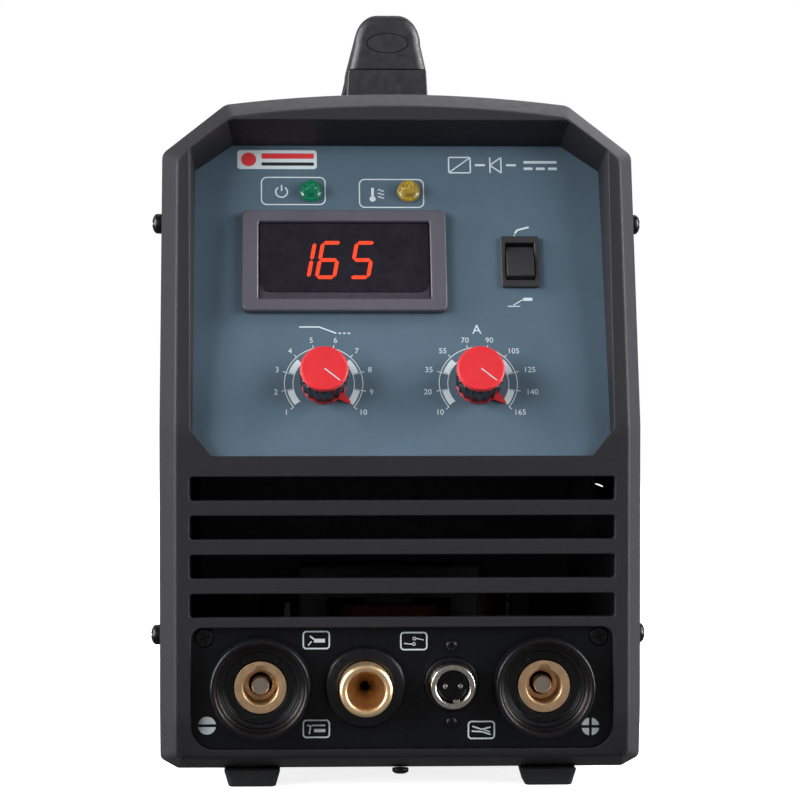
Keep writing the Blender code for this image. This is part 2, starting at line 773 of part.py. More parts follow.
def meter():
    width, height = METER_SIZE
    frame = prism(
        "meter_frame", rounded_rectangle(width, height, 0.0022, METER_CENTRE), GAP, METER_PROUD,
        PANEL, "meter_plastic",
    )
    round_edges(frame, 0.0008, 2, 60)
    wide, tall = METER_WINDOW
    window = rounded_rectangle(wide, tall, 0.0018, METER_CENTRE)
    cut(frame, prism("meter_window", window, -0.001, METER_PROUD + 0.002, PANEL))
    prism(
        "meter_lens",
        rounded_rectangle(wide - 2 * GAP, tall - 2 * GAP, 0.0016, METER_CENTRE),
        GAP, METER_PROUD - 0.0010, PANEL, "smoked_lens",
    )
    module = rounded_rectangle(width - 0.0056, height - 0.0056, 0.001, METER_CENTRE, 1)
    prism("meter_module", module, -0.0160, 0.0, PANEL, "module_black")


def lamp(name, x, finish):
    r = LAMP_RADIUS
    profile = [
        (0, 0.0052), (r * 0.50, 0.0046), (r * 0.72, 0.0022), (r * 0.90, 0.0016), (r, GAP),
        (0.0028, GAP), (0.0028, -0.0060), (0, -0.0060),
    ]
    turned(name, profile, at(PANEL, x, LAMP_V), finish, 16)


def fluted(radius, depth, flutes, per_flute=2):
    """A knob's outline: a circle with shallow rounded flutes."""
    points = []
    for i in range(flutes * per_flute):
        turn = 2 * math.pi * i / (flutes * per_flute)
        dip = depth * (0.5 - 0.5 * math.cos(flutes * turn))
        points.append(((radius - dip) * math.sin(turn), -(radius - dip) * math.cos(turn)))
    return points


def knob(side, x):
    """The fluted skirt with its pointer and shaft, and the flat cap on top."""
    place = at(PANEL, x, KNOB_V)
    base, shoulder = 0.0010, KNOB_HEIGHT - 0.0022
    skirt = loft(
        f"{side}_knob_skirt",
        [
            [(a, b, base) for a, b in fluted(KNOB_RADIUS, 0.0004, KNOB_FLUTES)],
            [(a, b, shoulder) for a, b in fluted(KNOB_RADIUS - 0.0003, 0.0005, KNOB_FLUTES)],
        ],
        place, "black_plastic",
    )
    root = KNOB_RADIUS - 0.0016
    tip = Vector((0, POINTER_REACH))
    wings = [Vector((0.0034, root)), Vector((-0.0034, root))]
    spin = Matrix.Rotation(POINTER_ANGLE, 2)
    pointer = [tuple(spin @ corner) for corner in (tip, wings[1], wings[0])]
    join(skirt, prism(f"{side}_pointer", pointer, base + 0.0001, base + 0.0016, place))
    join(skirt, prism(f"{side}_shaft", circle(SHAFT_RADIUS, 16), -0.0150, base + 0.0010, place))
    turned(
        f"{side}_knob_cap",
        [
            (0, KNOB_HEIGHT), (KNOB_CAP_RADIUS - 0.0006, KNOB_HEIGHT),
            (KNOB_CAP_RADIUS, KNOB_HEIGHT - 0.0005),
            (KNOB_CAP_RADIUS, shoulder + GAP), (0, shoulder + GAP),
        ],
        place, "knob_red", 28,
    )
    turned(
        f"{side}_potentiometer",
        [
            (0.0036, -0.0002), (0.0036, -0.0070), (0.0080, -0.0070), (0.0080, -0.0155),
            (SHAFT_RADIUS + 0.0002, -0.0155), (SHAFT_RADIUS + 0.0002, -0.0002),
        ],
        place, "aluminium", 16, ring=True,
    )


def rocker(name, half_width, half_length, thickness, place, travel, finish):
    """A rocker with its hinge on the frame's across axis, its far end pressed in."""
    dip = half_length * math.sin(travel / 2) * 1.3
    body = [
        (-half_length, -thickness), (half_length, -thickness),
        (half_length, 0.0004), (0, dip), (-half_length, 0.0004),
    ]
    tip = Matrix.Rotation(-travel / 2, 2)
    tilted = [tuple(tip @ Vector(corner)) for corner in body]
    # The side outline is drawn across the switch and then stood on its edge.
    edge = place @ frame_of((0, 1, 0), (0, 0, 1), (1, 0, 0), (0, 0, 0))
    piece = prism(name, tilted, -half_width, half_width, edge, finish)
    round_edges(piece, 0.0004, 1, 30)


def mode_switch():
    width, height = MODE_SWITCH_SIZE
    place = at(PANEL, *MODE_SWITCH)
    housing = prism(
        "mode_switch_housing", rounded_rectangle(width, height, 0.0008), GAP, 0.0018, place,
        "black_plastic",
    )
    body = rounded_rectangle(width - 0.0020, height - 0.0030, 0.0003, steps=1)
    join(housing, prism("mode_switch_body", body, -0.0140, 0.0008, place))
    well = rectangle(width / 2 - 0.0016, -height / 2 + 0.0026, height / 2 - 0.0026)
    cut(housing, prism("mode_switch_well", well, -0.0095, 0.004, place))
    pivot = at(place, 0, 0, 0.0012)
    rocker(
        "mode_switch_rocker", width / 2 - 0.0019, height / 2 - 0.0036, 0.0030, pivot,
        ROCKER_TRAVEL, "black_plastic",
    )


# ---------------------------------------------------------------- output panel and its sockets
def output_panel():
    face, back = -OUTPUT_DEPTH, -OUTPUT_DEPTH - OUTPUT_SHEET
    outline = rounded(
        rectangle(RECESS_HALF + 0.0026, RECESS_Z[0] - 0.0004, RECESS_Z[1] + 0.0028),
        (0.002, 0.002, 0.002, 0.002), 2,
    )
    panel = prism("output_panel", outline, back, face, FRONT, "output_plate")
    low, high = back - 0.002, face + 0.002
    holes = [
        ("negative_hole", -SOCKET_X, SOCKET_Z, 0.0126),
        ("positive_hole", SOCKET_X, SOCKET_Z, 0.0126),
        ("torch_hole", TORCH_X, SOCKET_Z, 0.0111),
        ("control_hole", *CONTROL_SOCKET, CONTROL_SHELL_RADIUS + GAP),
    ]
    for name, x, z, radius in holes:
        cut(panel, prism(name, circle(radius, 20, (x, z)), low, high, FRONT))
    for side, sign in (("left", -1), ("right", 1)):
        sink = turned(
            f"{side}_countersink",
            [
                (0, face + 0.0003), (0.0036, face + 0.0003), (0.0036, face - 0.0003),
                (0.0020, face - 0.0018), (0.0020, back - 0.001), (0, back - 0.001),
            ],
            at(FRONT, sign * OUTPUT_SCREW[0], OUTPUT_SCREW[1]), None, 12,
        )
        cut(panel, sink)


def output_screws():
    """Countersunk screws flush with the output panel."""
    face = -OUTPUT_DEPTH
    for side, sign in (("left", -1), ("right", 1)):
        place = at(FRONT, sign * OUTPUT_SCREW[0], OUTPUT_SCREW[1])
        screw = turned(
            f"output_screw_{side}",
            [
                (0, face - 0.0001), (0.0030, face - 0.0001), (0.0033, face - 0.0004),
                (0.0017, face - 0.0019), (0.0017, face - 0.0060), (0, face - 0.0060),
            ],
            place, "black_screw", 12,
        )
        arm, reach = 0.0004, 0.0017
        for name, a, b in (("across", reach, arm), ("upright", arm, reach)):
            bar = [(-a, -b), (a, -b), (a, b), (-a, b)]
            cut(screw, prism(f"{side}_{name}_slot", bar, face - 0.0014, face + 0.001, place))


def power_socket(sign_name, x):
    """A plastic cup with a brass contact: the twist-lock socket for a welding lead."""
    place = at(FRONT, x, SOCKET_Z)
    face = -OUTPUT_DEPTH + GAP
    rim = face + SOCKET_PROUD
    floor = rim - 0.0072
    turned(
        f"{sign_name}_socket_cup",
        [
            (SOCKET_MOUTH, rim), (SOCKET_RADIUS, rim), (SOCKET_RADIUS + 0.0005, face),
            (0.0123, face), (0.0123, face - 0.0120), (CONTACT_RADIUS + GAP, face - 0.0120),
            (CONTACT_RADIUS + GAP, floor), (0.0125, floor), (0.0146, rim - 0.0026),
        ],
        place, "black_plastic", 28, ring=True,
    )
    front = floor + 0.0004
    contact = turned(
        f"{sign_name}_socket_contact",
        [
            (CONTACT_BORE, front), (CONTACT_RADIUS, front), (CONTACT_RADIUS, front - 0.0170),
            (0.0040, front - 0.0170), (0.0040, front - 0.0260), (0, front - 0.0260),
            (0, front - 0.0048), (0.0032, front - 0.0048), (0.0032, front - 0.0120),
            (CONTACT_BORE, front - 0.0120),
        ],
        place, "brass", 20, ring=True,
    )
    top = CONTACT_BORE + 0.0019
    key = [(-0.0021, 0), (0.0021, 0), (0.0014, top), (-0.0014, top)]
    keyway = prism(f"{sign_name}_keyway", key, front - 0.0045, front + 0.002, place)
    cut(contact, keyway)


def torch_connector():
    place = at(FRONT, TORCH_X, SOCKET_Z)
    face = -OUTPUT_DEPTH + GAP
    tip = FRONT_REACH
    turned(
        "torch_connector_insulator",
        [
            (TORCH_RADIUS + GAP, face + 0.0034), (TORCH_FLANGE_RADIUS, face + 0.0026),
            (TORCH_FLANGE_RADIUS, face), (0.0108, face), (0.0108, face - 0.0100),
            (TORCH_RADIUS + GAP, face - 0.0100),
        ],
        place, "black_plastic", 24, ring=True,
    )
    turned(
        "torch_connector_fitting",
        [
            (0.0066, tip), (TORCH_RADIUS, tip), (TORCH_RADIUS, face - 0.0120),
            (0.0050, face - 0.0120), (0.0050, face - 0.0260), (0.0017, face - 0.0260),
            (0.0017, tip - 0.0150), (0.0052, tip - 0.0080),
        ],
        place, "brass", 24, ring=True,
    )


def control_socket():
    """Two-pin socket: nickel shell on a flange, a black insert, and two screws."""
    place = at(FRONT, *CONTROL_SOCKET)
    face = -OUTPUT_DEPTH + GAP
    rim = face + 0.0098
    bore = 0.0058
    turned(
        "control_socket_shell",
        [
            (bore, rim), (CONTROL_SHELL_RADIUS, rim), (CONTROL_SHELL_RADIUS, face + 0.0014),
            (CONTROL_SHELL_RADIUS + 0.0018, face + 0.0014), (CONTROL_SHELL_RADIUS + 0.0018, face),
            (CONTROL_SHELL_RADIUS, face), (CONTROL_SHELL_RADIUS, face - 0.0090),
            (bore, face - 0.0090),
        ],
        place, "nickel", 24, ring=True,
    )
    floor = rim - 0.0068
    insert = turned(
        "control_socket_insert",
        [(0, floor), (bore - GAP, floor), (bore - GAP, face - 0.0110), (0, face - 0.0110)],
        place, "black_plastic", 20,
    )
    for side, x in (("left", -0.0026), ("right", 0.0026)):
        where = at(place, x, 0)
        join(insert, prism(f"control_pin_{side}", circle(0.00095, 8), floor - 0.002, rim - 0.002, where))
    for level, sign in (("lower", -1), ("upper", 1)):
        where = at(FRONT, CONTROL_SOCKET[0], CONTROL_SOCKET[1] + sign * FLANGE_SCREW_REACH, face)
        name = f"control_socket_screw_{level}"
        cross_head(name, where, "black_screw", 0.0020, 0.0013, 0.0010, -GAP, 0.0012)


# ---------------------------------------------------------------- rear panel pieces
def power_switch():
    width, height = POWER_SWITCH_SIZE
    place = at(REAR, *POWER_SWITCH)
    housing = prism(
        "power_switch_housing", rounded_rectangle(width, height, 0.0015), GAP, 0.0026, place,
        "black_plastic",
    )
    body = rounded_rectangle(width - 0.0042, height - 0.0042, 0.0003, steps=1)
    join(housing, prism("power_switch_body", body, -0.0240, 0.0010, place))
    well = rectangle(width / 2 - 0.0040, -height / 2 + 0.0040, height / 2 - 0.0040)
    cut(housing, prism("power_switch_well", well, -0.0120, 0.005, place))
    rocker(
        "power_switch_rocker", width / 2 - 0.0044, height / 2 - 0.0051, 0.0034,
        at(place, 0, 0, 0.0016), ROCKER_TRAVEL, "black_plastic",
    )


def cord_gland():
    """A nut-shaped gland body; its bore is where the supply cord passes."""
    place = at(REAR, *GLAND)
    turned(
        "cord_gland",
        [
            (0.0052, 0.0150), (0.0086, 0.0150), (0.0100, 0.0132), (0.0108, 0.0060),
            (0.0120, 0.0056), (0.0120, GAP), (0.0080, GAP), (0.0080, -0.0100), (0.0052, -0.0100),
        ],
        place, "black_plastic", 24, ring=True,
    )


def gas_inlet():
    place = at(REAR, *GAS_INLET)
    turned(
        "gas_inlet",
        [
            (0.0022, REAR_REACH), (0.0036, REAR_REACH), (0.0046, 0.0145), (0.0038, 0.0145),
            (0.0046, 0.0110), (0.0038, 0.0110), (0.0038, 0.0060), (0.0078, 0.0060), (0.0086, 0.0052),
            (0.0086, GAP), (0.0060, GAP), (0.0060, -0.0120), (0.0022, -0.0120),
        ],
        place, "brass", 14, ring=True,
    )


def earth_bolt():
    place = at(REAR, *EARTH_BOLT)
    nut = prism("earth_bolt", circle(0.0066, 6), 0.0012, 0.0060, place, "brass")
    join(nut, prism("earth_washer", circle(0.0078, 20), GAP, 0.0016, place))
    join(nut, prism("earth_stud", circle(0.0030, 16), -0.0090, 0.0120, place))


def fan():
    back = -WALL - GAP
    place = at(REAR, 0, FAN_Z)
    half = FAN_SIDE / 2
    frame = prism(
        "fan_frame", rounded_rectangle(FAN_SIDE, FAN_SIDE, 0.005), back - FAN_DEPTH, back, place,
        "black_plastic",
    )
    bore = circle(half - 0.0020, 32)
    cut(frame, prism("fan_bore", bore, back - FAN_DEPTH + 0.003, back + 0.002, place))
    motor = 0.0185
    for i in range(4):
        start = math.pi / 2 * i + 0.14
        end = math.pi / 2 * (i + 1) - 0.14
        turns = [start + (end - start) * k / 6 for k in range(7)]
        wide = [((half - 0.003) * math.cos(t), (half - 0.003) * math.sin(t)) for t in turns]
        narrow = [(motor * math.cos(t), motor * math.sin(t)) for t in reversed(turns)]
        web = prism(f"fan_window_{i + 1}", wide + narrow, back - FAN_DEPTH - 0.002, back, place)
        cut(frame, web)

    low, high = back - FAN_DEPTH + 0.0045, back - 0.0020
    rotor = turned(
        "fan_rotor",
        [
            (0, high), (0.0170, high), (0.0185, high - 0.0015), (0.0185, low), (0, low),
        ],
        place, "black_plastic", 24,
    )
    for i in range(FAN_BLADES):
        blade = block(
            f"fan_blade_{i + 1}", (0.0160, -0.0009, -0.0105), (half - 0.0050, 0.0009, 0.0105),
            place @ Matrix.Rotation(2 * math.pi * i / FAN_BLADES, 4, "Z")
            @ Matrix.Translation((0, 0, (low + high) / 2)) @ Matrix.Rotation(math.radians(48), 4, "X"),
        )
        join(rotor, blade)


# ---------------------------------------------------------------- inside
def inner(depth, z, x=0.0):
    """A point inside the case, by its depth behind the front face."""
    return Vector((x, FRONT_Y + depth, z))


def heatsink():
    """A finned extrusion that carries the power transistors, standing on the base."""
    fins, pitch, thick, tall, root = 9, 0.0130, 0.0022, 0.0300, 0.0060
    half = (fins - 1) * pitch / 2 + thick / 2
    edge = [(half, 0), (half, root + tall)]
    for i in range(fins - 1):
        right = half - i * pitch
        edge += [
            (right - thick, root + tall), (right - thick, root),
            (right - pitch, root), (right - pitch, root + tall),
        ]
    edge += [(-half, root + tall), (-half, 0)]
    place = frame_of((-1, 0, 0), (0, 0, 1), (0, 1, 0), inner(0, FLOOR_Z))
    prism("inverter_heatsink", edge, 0.190, 0.290, place, "aluminium")


def boards():
    top = FLOOR_Z + 0.036 + GAP + 0.002
    board = block(
        "inverter_board", inner(0.176, top + 0.010, -0.062), inner(0.290, top + 0.0116, 0.062),
        finish="circuit_board",
    )
    low, high = inner(0.196, top - 0.0015, -0.040), inner(0.284, top + 0.0102, 0.040)
    join(board, block("board_standoff", low, high))
    behind = -0.0200
    sheet = rectangle(0.0660, 0.0100, 0.1120)
    prism("control_board", sheet, behind - 0.0016, behind, PANEL, "circuit_board")


def capacitors():
    low = FLOOR_Z + 0.036 + 0.002 + 0.0116 + 2 * GAP
    for side, x in (("left", -0.030), ("right", 0.030)):
        profile = [(0, 0.046), (0.0155, 0.046), (0.0170, 0.0445), (0.0170, 0), (0, 0)]
        place = Matrix.Translation(inner(0.205, low, x))
        turned(f"bus_capacitor_{side}", profile, place, "capacitor_sleeve", 20)


def transformer():
    """E-core transformer: a ferrite frame with a copper winding round its middle leg."""
    y, z = FRONT_Y + 0.135, FLOOR_Z
    low, high = (-0.035, y - 0.014, z), (0.035, y + 0.014, z + 0.056)
    core = block("transformer_core", low, high, finish="ferrite", bevel=0.001)
    for side, left, right in (("left", -0.024, -0.009), ("right", 0.009, 0.024)):
        low, high = (left, y - 0.02, z + 0.012), (right, y + 0.02, z + 0.044)
        cut(core, block(f"core_window_{side}", low, high))
    winding = prism(
        "transformer_winding",
        rounded_rectangle(0.044, 0.052, 0.008), z + 0.014, z + 0.042, Matrix.Translation((0, y, 0)),
        "copper_winding",
    )
    hole = rounded_rectangle(0.0186, 0.0286, 0.0004, steps=1)
    cut(winding, prism("winding_bore", hole, z, z + 0.06, Matrix.Translation((0, y, 0))))


def arc_starter_coil():
    """The high-frequency coil on the torch lead: a toroid lying on the base."""
    place = Matrix.Translation(inner(0.090, FLOOR_Z + 0.0070 + GAP, -0.030))
    section = circle(0.0070, 10)
    ring = [(0.0170 + a, b) for a, b in reversed(section)]
    turned("arc_starter_coil", ring, place, "copper_winding", 24, ring=True)


def air_divider():
    """An upright sheet that turns the fan's air down over the heatsink; it stands on two legs."""
    half, low, leg_in, leg_out = 0.0740, 0.0600, 0.0500, 0.0580
    right = [
        (leg_in, low), (leg_in, FLOOR_Z), (leg_out, FLOOR_Z), (leg_out, low),
        (half, low), (half, 0.2090), (0.0560, 0.2310),
    ]
    outline = right + [(-x, z) for x, z in reversed(right)]
    prism("air_divider", outline, -0.1676, -0.1660, FRONT, "black_plastic")


def gas_circuit():
    z = GAS_INLET[1]
    x = -GAS_INLET[0]
    valve = block(
        "gas_valve", inner(0.296, z - 0.009, x - 0.009), inner(0.318, z + 0.009, x + 0.009),
        finish="brass", bevel=0.001,
    )
    low, high = inner(0.298, z + 0.004, x - 0.0085), inner(0.316, z + 0.036, x + 0.0085)
    join(valve, block("valve_coil", low, high))
    tube(
        "gas_hose",
        [
            inner(0.2950, z, x), inner(0.275, z, x + 0.002), inner(0.240, z, x + 0.008),
            inner(0.180, z, x + 0.010), inner(0.110, z, x + 0.008), inner(0.075, z, 0.050),
            inner(0.055, z, 0.020), inner(0.046, z, TORCH_X + 0.016),
            inner(0.040, z, TORCH_X + 0.003), inner(0.0320, SOCKET_Z, TORCH_X),
        ],
        0.0030, "hose", 3,
    )


def build():
    front_bezel()
    rear_bezel()
    top_cover()
    base_plate()
    feet()
    side_screws()
    handle()
    control_panel()
    meter()
    lamp("power_lamp", POWER_LAMP_X, "lamp_green")
    lamp("alarm_lamp", ALARM_LAMP_X, "lamp_amber")
    knob("left", -KNOB_X)
    knob("right", KNOB_X)
    mode_switch()
    output_panel()
    output_screws()
    power_socket("negative", -SOCKET_X)
    power_socket("positive", SOCKET_X)
    torch_connector()
    control_socket()
    power_switch()
    cord_gland()
    gas_inlet()
    earth_bolt()
    fan()
    heatsink()
    boards()
    capacitors()
    transformer()
    arc_starter_coil()
    air_divider()
    gas_circuit()


build()
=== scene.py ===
"""Looks of the portable TIG welding machine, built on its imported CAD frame.

Metres, in the frame of the CAD: +X is the operator's right, the front faces -Y, +Z is up.
"""

import math

import bmesh
import bpy
from mathutils import Matrix, Vector


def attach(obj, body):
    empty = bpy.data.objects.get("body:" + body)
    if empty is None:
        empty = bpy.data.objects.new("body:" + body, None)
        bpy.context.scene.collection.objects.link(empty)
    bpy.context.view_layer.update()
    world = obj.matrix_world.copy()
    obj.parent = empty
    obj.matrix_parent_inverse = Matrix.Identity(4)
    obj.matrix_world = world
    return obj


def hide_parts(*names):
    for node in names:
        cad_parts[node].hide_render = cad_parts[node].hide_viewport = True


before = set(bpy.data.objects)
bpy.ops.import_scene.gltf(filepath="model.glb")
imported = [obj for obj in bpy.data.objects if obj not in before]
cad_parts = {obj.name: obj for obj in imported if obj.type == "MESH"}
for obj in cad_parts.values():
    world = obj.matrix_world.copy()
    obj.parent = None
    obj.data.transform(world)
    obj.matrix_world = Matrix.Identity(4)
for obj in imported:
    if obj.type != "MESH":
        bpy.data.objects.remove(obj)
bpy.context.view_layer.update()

# ---------------------------------------------------------------- sizes shared with the CAD
WIDTH = 0.1686
FRONT_Y = -0.177
REAR_Y = 0.168
BODY_LENGTH = REAR_Y - FRONT_Y
GAP = 0.0003

BOTTOM_Z = 0.0063
SHOULDER_Z = 0.2233
SHOULDER_X = 0.0618
TOP_EDGE_Z = 0.2414
CROWN = 0.0040
TOE = (0.0062, 0.0036)
COVER_TOP_Z = 0.2377
COVER_INSET = 0.0015
SHEET = 0.0010
CAVITY_INSET = COVER_INSET + SHEET + GAP + 0.0024
LOUVRE_DEPTHS = (0.112, 0.240)
LOUVRE_LENGTH = 0.036
LOUVRE_HEIGHT = 0.0042
LOUVRE_PITCH = 0.012
LOUVRES = 6
FIRST_LOUVRE_Z = 0.100

KINK_Z = 0.1270
LEAN = math.radians(16.5)
TUCK_Z = 0.0262
TUCK = math.radians(12)
KINK_BLEND = 0.004
FLARE = 0.0056
FLARE_DEPTH = 0.016
BEZEL_DEPTH = 0.066
REAR_BEZEL_DEPTH = 0.040
SPIGOT = 0.008
FRONT_WALL = 0.0047
WALL = 0.0030

PANEL_TILT = math.radians(23)
PANEL_FOOT_Z = 0.1154
PANEL_SETBACK = 0.0035
PANEL_HALF = 0.0724
PANEL_HEIGHT = 0.1207
PANEL_SHEET = 0.0020
PANEL_FOOT_CHAMFER = (0.0072, 0.0086)
PANEL_HEAD_CHAMFER = (0.0135, 0.0103)
PANEL_MARGIN = 0.0030
OPENING_DRAFT = 0.0026

KNOB_X = 0.02705
KNOB_V = 0.0282
KNOB_HEIGHT = 0.0145
KNOB_RADIUS = 0.0087
KNOB_CAP_RADIUS = 0.0083
POINTER_REACH = 0.0124
POINTER_ANGLE = math.radians(-130)
SHAFT_RADIUS = 0.0030

METER_CENTRE = (-0.0194, 0.0744)
METER_SIZE = (0.0725, 0.0393)
METER_WINDOW = (0.0609, 0.0300)
METER_PROUD = 0.0032

LAMP_RADIUS = 0.0041
LAMP_V = 0.1024
POWER_LAMP_X = -0.0312
ALARM_LAMP_X = 0.0039

MODE_SWITCH = (0.0431, 0.0745)
MODE_SWITCH_SIZE = (0.0136, 0.0197)
ROCKER_TRAVEL = math.radians(22)

SLOT_HALF = 0.0735
SLOT_HEIGHT = 0.0082
SLOT_PITCH = 0.01345
FIRST_SLOT_Z = 0.0650
SLOTS = 4
RECESS_HALF = 0.0730
RECESS_Z = (0.0150, 0.0574)
RECESS_CORNERS = (0.0083, 0.0083, 0.0041, 0.0041)
OUTPUT_DEPTH = 0.0050
OUTPUT_SCREW = (0.0685, 0.0536)
SOCKET_X = 0.04915
SOCKET_Z = 0.0365
SOCKET_RADIUS = 0.0173
SOCKET_MOUTH = 0.0151
SOCKET_PROUD = 0.0085
BOSS_REACH = 0.0107
CONTACT_RADIUS = 0.0091
CONTACT_BORE = 0.0057
TORCH_X = -0.0129
TORCH_FLANGE_RADIUS = 0.0141
TORCH_RADIUS = 0.0091
TORCH_TIP = 0.0090
CONTROL_SOCKET = (0.0171, 0.0373)
CONTROL_SHELL_RADIUS = 0.0078
FLANGE_SCREW_REACH = 0.01335

HANDLE_FRONT = 0.138
HANDLE_LENGTH = 0.164
HANDLE_HALF = 0.0152  # at the split; the sides close in above it
HANDLE_SHOULDER = (0.0130, 0.2724)
HANDLE_FLAT = 0.0040
HANDLE_FOOT_HALF = 0.0166
HANDLE_ROUNDING = 0.0035
HANDLE_TOP_Z = 0.2840
HANDLE_SPLIT_Z = 0.2628
HANDLE_LEG = 0.027
GRIP_UNDER_Z = 0.2585

FAN_Z = 0.0900
FAN_SIDE = 0.0920
FAN_DEPTH = 0.0250
GRILLE_RADIUS = 0.0420
GRILLE_ROWS = 9
GRILLE_RIB = 0.0028
GRILLE_RIB_X = 0.0150
POWER_SWITCH = (0.0380, 0.1800)
POWER_SWITCH_SIZE = (0.0300, 0.0220)
GLAND = (-0.0380, 0.1800)
GAS_INLET = (-0.0560, 0.0360)
EARTH_BOLT = (0.0560, 0.0330)
REAR_REACH = 0.018

FOOT_X = 0.0521
FOOT_SETBACK = 0.0255
FOOT_SIDE = 0.0198
FOOT_CORNER = 0.0022
FOOT_TAPER = 0.83
SIDE_SCREW_DEPTHS = (0.0340, 0.0500)  # lower and upper pair, behind the front face
UNDERSIDE_SCREW_DEPTH = 0.0200
SIDE_SCREW_Z = (0.0520, 0.1985)
SIDE_SCREW_PROUD = 0.0038
REAR_SCREW_DEPTH = 0.022  # ahead of the rear face
SIDE_HEAD = (0.0036, SIDE_SCREW_PROUD - GAP, 0.0018)  # head radius and height, stem radius

INK_LIFT = 0.00004  # printed marks stand this far off their face
INK = 0.00006  # and are this thick


# ---------------------------------------------------------------- frames of reference
def frame_of(across, up, out, origin):
    """A frame whose axes run across, up and out of a face, from a point on it."""
    matrix = Matrix((across, up, out)).transposed().to_4x4()
    matrix.translation = origin
    return matrix


FRONT = frame_of((1, 0, 0), (0, 0, 1), (0, -1, 0), (0, FRONT_Y, 0))
REAR = frame_of((-1, 0, 0), (0, 0, 1), (0, 1, 0), (0, REAR_Y, 0))
RIGHT = frame_of((0, 1, 0), (0, 0, 1), (1, 0, 0), (0, 0, 0))
LEFT = frame_of((0, -1, 0), (0, 0, 1), (-1, 0, 0), (0, 0, 0))
GROUND = Matrix.Identity(4)
PANEL = frame_of(
    (1, 0, 0),
    (0, math.sin(PANEL_TILT), math.cos(PANEL_TILT)),
    (0, -math.cos(PANEL_TILT), math.sin(PANEL_TILT)),
    (0, FRONT_Y + PANEL_SETBACK, PANEL_FOOT_Z),
)
OUTPUT = FRONT @ Matrix.Translation((0, 0, -OUTPUT_DEPTH))


def at(place, x, v, out=0.0):
    """The same frame moved to a place on its face."""
    return place @ Matrix.Translation((x, v, out))


# ---------------------------------------------------------------- materials
def linear(r, g, b):
    """Linear colour from 0 to 255 display values."""
    return tuple((c / 255 / 12.92) if c < 11 else ((c / 255 + 0.055) / 1.055) ** 2.4 for c in (r, g, b))


class Shader:
    """A Principled material whose colour, roughness and bump come from procedural nodes."""

    def __init__(self, name, **inputs):
        self.material = bpy.data.materials.new(name)
        self.material.use_nodes = True
        self.tree = self.material.node_tree
        self.shader = self.tree.nodes["Principled BSDF"]
        for key, value in inputs.items():
            self.shader.inputs[key.replace("_", " ").title().replace("Ior", "IOR")].default_value = value
        self.coordinates = self.node("ShaderNodeTexCoord").outputs["Object"]
        self.normal = None

    def node(self, kind, **settings):
        made = self.tree.nodes.new(kind)
        for key, value in settings.items():
            setattr(made, key, value)
        return made

    def wire(self, source, target):
        self.tree.links.new(source, target)

    def noise(self, scale, detail=3.0, stretch=(1, 1, 1), roughness=0.55):
        spread = self.node("ShaderNodeMapping")
        spread.inputs["Scale"].default_value = stretch
        self.wire(self.coordinates, spread.inputs["Vector"])
        made = self.node("ShaderNodeTexNoise")
        made.inputs["Scale"].default_value = scale
        made.inputs["Detail"].default_value = detail
        made.inputs["Roughness"].default_value = roughness
        self.wire(spread.outputs["Vector"], made.inputs["Vector"])
        return made.outputs["Fac"]

    def voronoi(self, scale, output="Color"):
        made = self.node("ShaderNodeTexVoronoi")
        made.inputs["Scale"].default_value = scale
        self.wire(self.coordinates, made.inputs["Vector"])
        return made.outputs[output]

    def rings(self, spacing, distortion=0.0):
        """Turning marks: circles round the piece's own outward axis."""
        made = self.node("ShaderNodeTexWave", wave_type="RINGS", rings_direction="Z")
        made.inputs["Scale"].default_value = 2 * math.pi / (20 * spacing)
        made.inputs["Distortion"].default_value = distortion
        self.wire(self.coordinates, made.inputs["Vector"])
        return made.outputs["Fac"]

    def colours(self, factor, stops):
        """Base colour from a ramp of (position, colour)."""
        ramp = self.node("ShaderNodeValToRGB")
        elements = ramp.color_ramp.elements
        while len(elements) < len(stops):
            elements.new(0.5)
        for element, (position, colour) in zip(elements, stops):
            element.position = position
            element.color = (*colour, 1)
        self.wire(factor, ramp.inputs["Fac"])
        self.wire(ramp.outputs["Color"], self.shader.inputs["Base Color"])

    def mottle(self, colour, scale, amount, **noise):
        """A little lighter and darker from place to place."""
        dark = tuple(c * (1 - amount) for c in colour)
        light = tuple(min(1, c * (1 + amount)) for c in colour)
        self.colours(self.noise(scale, **noise), [(0.3, dark), (0.7, light)])

    def roughness(self, factor, low, high):
        spread = self.node("ShaderNodeMapRange")
        spread.inputs["From Min"].default_value = 0.3
        spread.inputs["From Max"].default_value = 0.7
        spread.inputs["To Min"].default_value = low
        spread.inputs["To Max"].default_value = high
        self.wire(factor, spread.inputs["Value"])
        self.wire(spread.outputs["Result"], self.shader.inputs["Roughness"])

    def bump(self, factor, depth, strength=1.0):
        bump = self.node("ShaderNodeBump")
        bump.inputs["Strength"].default_value = strength
        bump.inputs["Distance"].default_value = depth
        self.wire(factor, bump.inputs["Height"])
        if self.normal:
            self.wire(self.normal, bump.inputs["Normal"])
        self.normal = bump.outputs["Normal"]
        self.wire(self.normal, self.shader.inputs["Normal"])


def moulding(name, colour, low, high, grain=1500, depth=0.00006, amount=0.05, **inputs):
    """Moulded plastic or paint: a fine grain, slight mottling and uneven gloss."""
    made = Shader(name, **inputs)
    made.mottle(colour, 140, amount, detail=6)
    fine = made.noise(grain, detail=2)
    made.roughness(made.noise(grain / 6), low, high)
    made.bump(fine, depth)
    return made.material


def turned_metal(name, colour, low, high, spacing=0.00035, depth=0.000006, amount=0.12):
    """Machined metal: turning marks, a soft stain and uneven polish."""
    made = Shader(name, metallic=1.0)
    made.mottle(colour, 260, amount)
    made.roughness(made.noise(900), low, high)
    made.bump(made.rings(spacing, 0.3), depth)
    made.bump(made.noise(2600), depth * 1.5)
    return made.material


